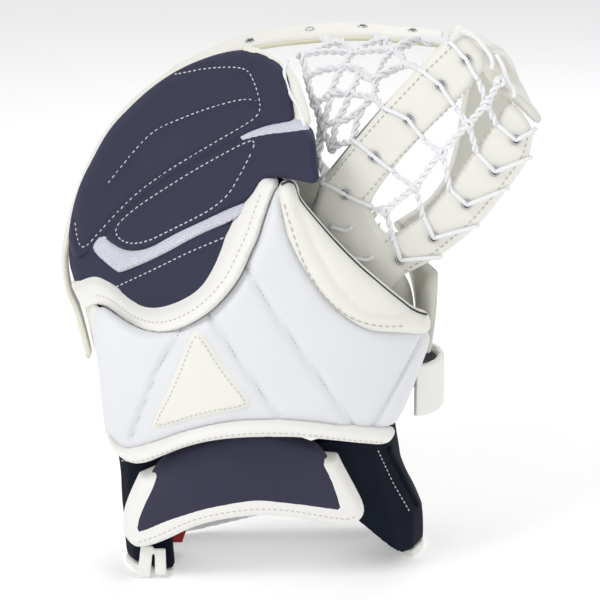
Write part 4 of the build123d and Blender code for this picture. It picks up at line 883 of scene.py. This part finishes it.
# ------------------------------------------------------------------------ laces
N = {'n0': [0.3, 52, 369.8], 'n1': [5.4, 42, 356.2], 'n2': [10.4, 30, 338], 'n3': [15.4, 20, 322.5], 'n4': [12.1, 12, 303], 'n5': [16.3, -1, 287.6], 'm0': [27.1, 76, 375.5], 'm1': [38.5, 64, 370.1], 'm2': [63.7, 80, 376.3], 'm3': [68.3, 64, 371.5], 'm4': [89.5, 82, 377.4], 'p1': [31, 44, 362.4], 'p2': [43.1, 40, 360.2], 'p3': [53.7, 32, 355.8], 'p4': [75, 30, 366.3], 'q1': [21.5, 28, 344.9], 'q2': [35.7, 24, 346.4], 'q3': [51.9, 14, 346], 'r1': [16.4, 18, 324.3], 'r2': [25.7, 16, 326.9], 'r3': [42, 13, 335.4], 's1': [22.8, 7, 309.8], 't2': [37.4, -4, 317.8], 't3': [58.4, -6, 341.9], 't4': [83.4, -5, 368.7], 't5': [103.5, -4, 388.3], 'e1': [15.5, 91.9, 376.7], 'e2': [55.5, 89.7, 377.8], 'e3': [96.4, 69.3, 375.7]}
geo = []
for k, (a, b) in enumerate([['n0', 'n1'], ['n1', 'n2'], ['n2', 'n3'], ['n3', 'n4'], ['n0', 'm0'], ['n0', 'm1'], ['m0', 'm1'], ['m1', 'm3'], ['m3', 'm2'], ['m3', 'm4'], ['m1', 'p1'], ['n1', 'p1'], ['p1', 'p2'], ['p2', 'p3'], ['m3', 'p3'], ['m3', 'p4'], ['p3', 'p4'], ['p1', 'q1'], ['n2', 'q1'], ['q1', 'q2'], ['p2', 'q2'], ['q2', 'q3'], ['p3', 'q3'], ['q1', 'r1'], ['q2', 'r2'], ['r1', 'r2'], ['r2', 'r3'], ['q3', 'r3'], ['r1', 's1'], ['r2', 's1'], ['e1', 'm0'], ['e2', 'm2'], ['e3', 'm4'], ['p4', 't4'], ['q3', 't3'], ['r3', 't2'], ['s1', 't2'], ['m4', 't5']]):
    p, q = np.array(N[a], float), np.array(N[b], float)
    m = (p + q) / 2
    d = q - p
    L = np.linalg.norm(d)
    rnd = random.Random(k)
    sag = np.array([rnd.uniform(-1, 1), rnd.uniform(-1, 1), rnd.uniform(-1, 1)]) * min(3.0, L * 0.07)
    geo += twisted([p, p + d * 0.25 + sag * 0.6, m + sag, p + d * 0.75 + sag * 0.3, q], 1.35, 13.0, 1.5, phase=k * 1.3)
for k, (a, b, off) in enumerate([['m0', 'm1', [0, -2, 4]], ['m1', 'm2', [1, -2, 3]], ['m2', 'm3', [0, -3, -3]], ['m3', 'm4', [0, -2, 3]], ['p1', 'p2', [0, -2, 3]], ['p2', 'p3', [0, -1, -3]], ['p3', 'p4', [0, -2, 3]], ['n1', 'p1', [0, -1, 3]], ['e1', 'm1', [2, 0, 0]], ['e2', 'm3', [-2, 0, 0]], ['e2', 'm2', [2, 0, -1]], ['e3', 'm4', [2, 0, 0]], ['q1', 'q2', [0, -1, 2]], ['r1', 'r2', [0, -1, 2]], ['n2', 'n3', [2, 0, 0]], ['n3', 'n4', [2, 0, 0]], ['n4', 'n5', [2, 0, 1]]]):
    p, q, o = np.array(N[a], float), np.array(N[b], float), np.array(off, float)
    d = q - p
    geo += twisted([p, p + d * 0.3 + o, p + d * 0.7 + o * 0.7, q], 1.3, 15.0, 1.4, phase=k * 2.1)
for i, k in enumerate(sorted({n for e in [['n0', 'n1'], ['n1', 'n2'], ['n2', 'n3'], ['n3', 'n4'], ['n0', 'm0'], ['n0', 'm1'], ['m0', 'm1'], ['m1', 'm3'], ['m3', 'm2'], ['m3', 'm4'], ['m1', 'p1'], ['n1', 'p1'], ['p1', 'p2'], ['p2', 'p3'], ['m3', 'p3'], ['m3', 'p4'], ['p3', 'p4'], ['p1', 'q1'], ['n2', 'q1'], ['q1', 'q2'], ['p2', 'q2'], ['q2', 'q3'], ['p3', 'q3'], ['q1', 'r1'], ['q2', 'r2'], ['r1', 'r2'], ['r2', 'r3'], ['q3', 'r3'], ['r1', 's1'], ['r2', 's1'], ['e1', 'm0'], ['e2', 'm2'], ['e3', 'm4'], ['p4', 't4'], ['q3', 't3'], ['r3', 't2'], ['s1', 't2'], ['m4', 't5']] for n in e})):
    if k[0] in "mpqrsn":
        geo.append(knot(N[k], 2.3, 1.25, i))
ob = merge("net_fingers", geo, LACE)
settle(ob, "net_fingers", slot="lace")

geo = []
CH = [[60, -15, 270.1], [80.8, -17.7, 287.5], [99.1, -18.5, 312.7], [117.5, -17.1, 332.5], [130.2, -15, 346.3], [139.4, -11.7, 362]]
for i in range(len(CH) - 1):
    p, q = np.array(CH[i], float), np.array(CH[i + 1], float)
    geo += twisted([p, p * 0.7 + q * 0.3 + np.array([0.6, -1, 0.6]), p * 0.3 + q * 0.7 - np.array([0.6, 0, 0.6]), q], 1.45, 12.0, 1.5, phase=i)
for i, c in enumerate(CH):
    geo.append(knot(c, 3.0, 1.5, i + 50))
    geo.append(knot((c[0] + 0.8, c[1] - 1.5, c[2] + 0.6), 2.0, 1.4, i + 80))
for i, (p, q) in enumerate([[[50.5, -8.6, 270.8], [60, -15, 270.1]], [[65.7, -10.6, 296.7], [80.8, -17.7, 287.5]], [[86.4, -12.6, 321], [99.1, -18.5, 312.7]], [[109.5, -12.6, 342.4], [117.5, -17.1, 332.5]], [[124.8, -10.6, 361.8], [130.2, -15, 346.3]], [[60, -15, 270.1], [66.3, -9.6, 247]], [[80.8, -17.7, 287.5], [87.2, -11.6, 264.5]], [[99.1, -18.5, 312.7], [105.7, -13.6, 284.2]], [[117.5, -17.1, 332.5], [123.9, -13.6, 311.7]], [[130.2, -15, 346.3], [137.6, -12.6, 331.7]]]):
    p, q = np.array(p, float), np.array(q, float)
    geo += twisted([p, p * 0.6 + q * 0.4 + np.array([0.8, -0.8, -0.6]), q], 1.25, 14.0, 1.2, phase=i * 0.9)
ob = merge("net_centre", geo, LACE)
settle(ob, "net_centre", slot="lace", bend=WIDE)

geo = []
for i, (p, q) in enumerate([[[99, 4, 236], [103, 12, 240]], [[124, 3, 257], [127, 30, 262]], [[147, 3, 285], [143, 44, 286]], [[160, 3, 306], [151, 56, 310]], [[164, 3, 322], [157, 68, 330]]]):
    p, q = np.array(p, float), np.array(q, float)
    geo += twisted([p, (p + q) / 2 + np.array([1.0, 0, -1.0]), q], 1.3, 14.0, 1.25, phase=i)
ob = merge("net_thumb", geo, LACE)
settle(ob, "net_thumb", slot="lace")


def strands(name, lines, r=1.5, flat=0.75, body=None, bend=None, material=None):
    parts = [tube_geo(smooth_line(l, 1.4, 2), r, 10, flat=flat, updir=(0, -1, 0.05)) for l in lines]
    ob = merge(name, parts, material or LACE)
    if bend:
        across(ob, *bend)
    else:
        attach(ob, body)
    return ob


# laces over the strap faces: edge to eyelet, and eyelet to the chain
over_l, over_r = [], []
LE, LR, RE = [[15.3, -2.6, 287.6], [37.4, -6.4, 318.3], [58.3, -7.6, 342.3], [83.6, -5.9, 369.1], [104.4, -2.6, 388.4]], [[50.3, -9.6, 272.1], [65.5, -12.4, 298.1], [86.2, -13.3, 322.1], [109.2, -11.9, 343.1], [124.6, -8.8, 362.3]], [[100, -5.6, 233.8], [125.9, -7.9, 257.1], [146.6, -8.6, 284.2], [162.5, -7, 306.2], [165.2, -6.9, 326.3]]
for (x, y, z), e, c in zip(EYE_L, LE, LR):
    e, c = np.array(e, float), np.array(c, float)
    h = np.array([x, y - 3.4, z])
    over_l.append([e + np.array([-0.6, 5.0, 0]), e + np.array([-0.8, 0, 0]), e + np.array([0.8, -2.2, 0]), (e * 0.5 + h * 0.5) + np.array([0, -0.9, 0.6]), h, h + np.array([0.8, 2.2, 0.4])])
    over_l.append([h + np.array([0, 2.0, 0]), h, (h + c) / 2 + np.array([0, -0.6, -0.5]), c + np.array([0, -2.0, 0]), c + np.array([1.2, 1.0, 0])])
for (x, y, z), c in zip(EYE_R, [[66.9, -8.5, 247], [87.9, -11.7, 264.5], [106.6, -13.3, 284.5], [124.5, -13.2, 311.1], [138.3, -11.2, 331.4]]):
    c = np.array(c, float)
    h = np.array([x, y - 3.4, z])
    over_r.append([c + np.array([-0.8, 2.0, 0.8]), c + np.array([0, -1.6, 0]), (h + c) / 2 + np.array([0.4, -2.2, 0]), h, h + np.array([0, 2.4, 0])])
for (x, y, z), e in zip(EYE_R, RE):
    e = np.array(e, float)
    h = np.array([x, y - 3.4, z])
    over_r.append([h + np.array([0, 2.2, 0]), h, (h + e) / 2 + np.array([0, -1.6, 0.4]), e + np.array([-0.6, -2.0, 0]), e + np.array([0.9, 0.4, 0]), e + np.array([0.8, 6.0, 0])])
strands("lace_over_strap_fingers", over_l, bend=WIDE)
strands("lace_over_strap_thumb", over_r, bend=WIDE)
strands("lace_top_fold", [[[104.9, -6.1, 390.1], [112.4, -2.7, 397.7], [121, -3.4, 393.9], [130.7, -6.3, 383.1], [134.9, -8.3, 375.6], [133.7, -10.4, 369.6]], [[137.2, -6.1, 380.2], [142.5, -8.2, 371.4], [144.7, -10.5, 361.9], [150.7, -10.7, 355.5], [149.7, -12, 350.1]]], bend=WIDE)
strands("lace_index_edge", [[[-8.6, 27.6, 370.3], [-12.1, 24, 362.3], [-7.1, 6, 348.9], [0, -8.3, 342.3], [4.2, -25.9, 328.6], [8.3, -41.4, 315.5], [13.1, -53.8, 303.3]]], r=1.3, body="fingers")
strands("lace_base", [[[21.4, -6, 256], [27.1, -7, 254.8], [32.5, -7.9, 253.2], [37, -9, 256.7]], [[35.8, -5.9, 233.2], [41.5, -6.5, 232.7], [47.6, -7, 231.3], [52.2, -7.9, 234.5]]], r=1.4, bend=WIDE)

# rim eyelets
rings, holes, turns = [], [], []
for c, n in [[[-36.6, 103.8, 369.7], [-0.2, -0.23, 0.95]], [[7.8, 107.6, 377.5], [-0.1, -0.25, 0.96]], [[46.5, 106.2, 379.8], [-0.03, -0.23, 0.97]], [[83.2, 100.1, 377.8], [0.05, -0.17, 0.98]]]:
    c = np.array(c, float)
    n = np.array(n, float)
    rings.append(ring_geo(tuple(c + n * 2.6), n, 3.0, 0.9))
    # a dark disc of painted shade in each rim eyelet hole
    holes.append(disc_geo(tuple(c + n * 2.5), n, 2.5, 0.3))
ob = merge("rim_eyelets", rings, STEEL)
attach(ob, "fingers")
ob = merge("rim_eyelet_hole_shade", holes, HOLE_SHADE)
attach(ob, "fingers")

from mathutils.bvhtree import BVHTree


def drape(ob, rays, lift=0.3):
    """Points where rays meet a piece, lifted a little off it."""
    me = ob.data
    tree = BVHTree.FromPolygons([ob.matrix_world @ v.co for v in me.vertices], [tuple(f.vertices) for f in me.polygons])
    out = []
    for p0, p1 in rays:
        o = Vector(((p0[0] + DX) / 1000, (p0[1] + DY) / 1000, p0[2] / 1000))
        d = Vector(((p1[0] - p0[0]), (p1[1] - p0[1]), (p1[2] - p0[2]))).normalized()
        hit, nrm, _, _ = tree.ray_cast(o, d)
        if hit is not None:
            if nrm.dot(d) > 0:
                nrm = -nrm
            q = hit + nrm * (lift / 1000)
            out.append((q.x * 1000 - DX, q.y * 1000 - DY, q.z * 1000))
    return np.array(out)


# ---------------------------------------------------------- wings, strap, flap
for node, material, slot_, ripple in (("wing_left", NAVY2, "navy_gaiter", 0.0006), ("wing_right", NAVY2, "navy_gaiter", 0.0006)):
    ob = soften(node, node + "_soft", material, voxel=0.0024, rounds=8, ripple=ripple)
    settle(ob, node, slot=slot_, pad=0.6)
    if node == "wing_right":
        for nm, rays, mt, kind in (("stitch_wing", [[[52.1, -140, 133.5], [61.3, 140, 40.2]], [[54.2, -140, 128.9], [63.7, 140, 34.7]], [[56.3, -140, 124.2], [66.2, 140, 29.2]], [[58.4, -140, 119.5], [68.6, 140, 23.7]], [[60.5, -140, 114.8], [71.1, 140, 18.2]], [[62.6, -140, 110.1], [73.6, 140, 12.6]], [[64.9, -140, 105.9], [76.3, 140, 7.8]], [[67.2, -140, 101.8], [79, 140, 2.9]], [[69.6, -140, 97.6], [81.8, 140, -2]], [[71.9, -140, 93.5], [84.5, 140, -6.8]], [[74.2, -140, 89.3], [87.2, 140, -11.7]]], THREAD, 0), ("wing_welt", [[[59.2, -140, 134.9], [69.6, 140, 41.9]], [[61.1, -140, 130.7], [71.8, 140, 36.9]], [[63, -140, 126.4], [74.1, 140, 31.9]], [[65, -140, 122.2], [76.4, 140, 26.9]], [[66.9, -140, 117.9], [78.6, 140, 21.9]], [[68.8, -140, 113.6], [80.9, 140, 16.8]], [[70.9, -140, 109.7], [83.3, 140, 12.1]], [[73, -140, 105.7], [85.8, 140, 7.4]], [[75.1, -140, 101.7], [88.2, 140, 2.7]], [[77.1, -140, 97.6], [90.6, 140, -2]], [[79.2, -140, 93.6], [93.1, 140, -6.7]]], NAVY2, 1)):
            pts = drape(ob, rays)
            if len(pts) > 3:
                line = smooth_line(pts, 1.5, 2)
                o2 = stitches(nm, [line], mt, length=2.2, gap=1.6, r=0.42) if not kind else merge(nm, [tube_geo(line, 2.4, 10, flat=0.6, updir=(0, -1, 0))], mt)
                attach(o2, "cuff")
for node, material, slot_ in (("wing_left_binding", BIND, "white_binding"), ("wing_right_binding", BIND, "white_binding"),
                              ("heel_strap", WHITE, "white_leather"), ("wrist_strap", BIND, "white_binding"),
                              ("wrist_tabs", BIND, "white_binding"), ("lining_tab", RED, "red_lining")):
    vox = 0.0008 if node in ("wrist_tabs", "lining_tab") else 0.0014
    ob = soften(node, node + "_soft", material, voxel=vox, rounds=6)
    settle(ob, node, slot=slot_)

flap_roll = Panel("wrist_flap_binding", [[-109.6, 90.3], [-123.2, 61.1], [-127.6, 45.4], [-127.3, 34.1], [-121.8, 26.5], [-114.2, 25.8], [-99.1, 32.5], [-76.7, 46], [-54.7, 52.8], [-29.2, 55.9], [-7.4, 54.3], [14.5, 48.2], [34.7, 43.1], [43.9, 46.5], [45.7, 54.7], [38.3, 70.7], [29, 88.6], [24.3, 100]], shifted(flap_y, 5.5), 6.0, BIND, puff=7.0, edge=6.0, bulge=1.2, wrinkle=0.25, step=1.7)
settle(flap_roll.ob, "wrist_flap_binding", slot="white_binding")
flap = Panel("wrist_flap_pad", [[-100.8, 93.2], [-114.5, 62.6], [-120.3, 46.7], [-121.2, 39], [-119.3, 34.8], [-111.4, 36.4], [-99.3, 42.1], [-84.4, 50.4], [-62, 60], [-34.7, 64.3], [-7.4, 62.7], [18.1, 56.2], [31, 53], [35.5, 54.2], [17.1, 103.3], [0, 110.7], [-21.3, 117.3], [-46.1, 117.3], [-71.1, 108.4], [-85.5, 101.6]], shifted(flap_y, 2.0), 5.0, FLAPM, puff=4.2, edge=9, crown=0.8,
             seams=[[[-92, 36], [-60, 24], [-20, 20], [10, 34]]], seam_depth=1.6, seam_width=2.0, wrinkle=0.5)
settle(flap.ob, "wrist_flap_pad", slot="navy_nylon", pad=0.6)
seam("stitch_flap_binding", [[[-116.8, 31.7], [-102.2, 38.2], [-79.4, 51.9], [-56, 59.2], [-29.4, 62.4], [-6.3, 60.7], [16.2, 54.5], [35.1, 49.6], [41.6, 52.6]]], flap_roll, THREADC, body="wrist_flap", length=2.4, gap=1.8, r=0.36, lift=0.1)

# ------------------------------------------------------ what keeps its CAD form
KEEP = {"cuff_board": BOARDM, "finger_board": BOARDM, "thumb_board": BOARDM, "wrist_strap_hook": HOOK}
for n, m in KEEP.items():
    o = frame["nodes"][n]
    o.data.materials.clear()
    o.data.materials.append(m)
for n in ("finger_stalls", "thumb_stall"):
    ob = soften(n, n + "_soft", LINING, voxel=0.0016, rounds=3)
    settle(ob, n, slot="lining")
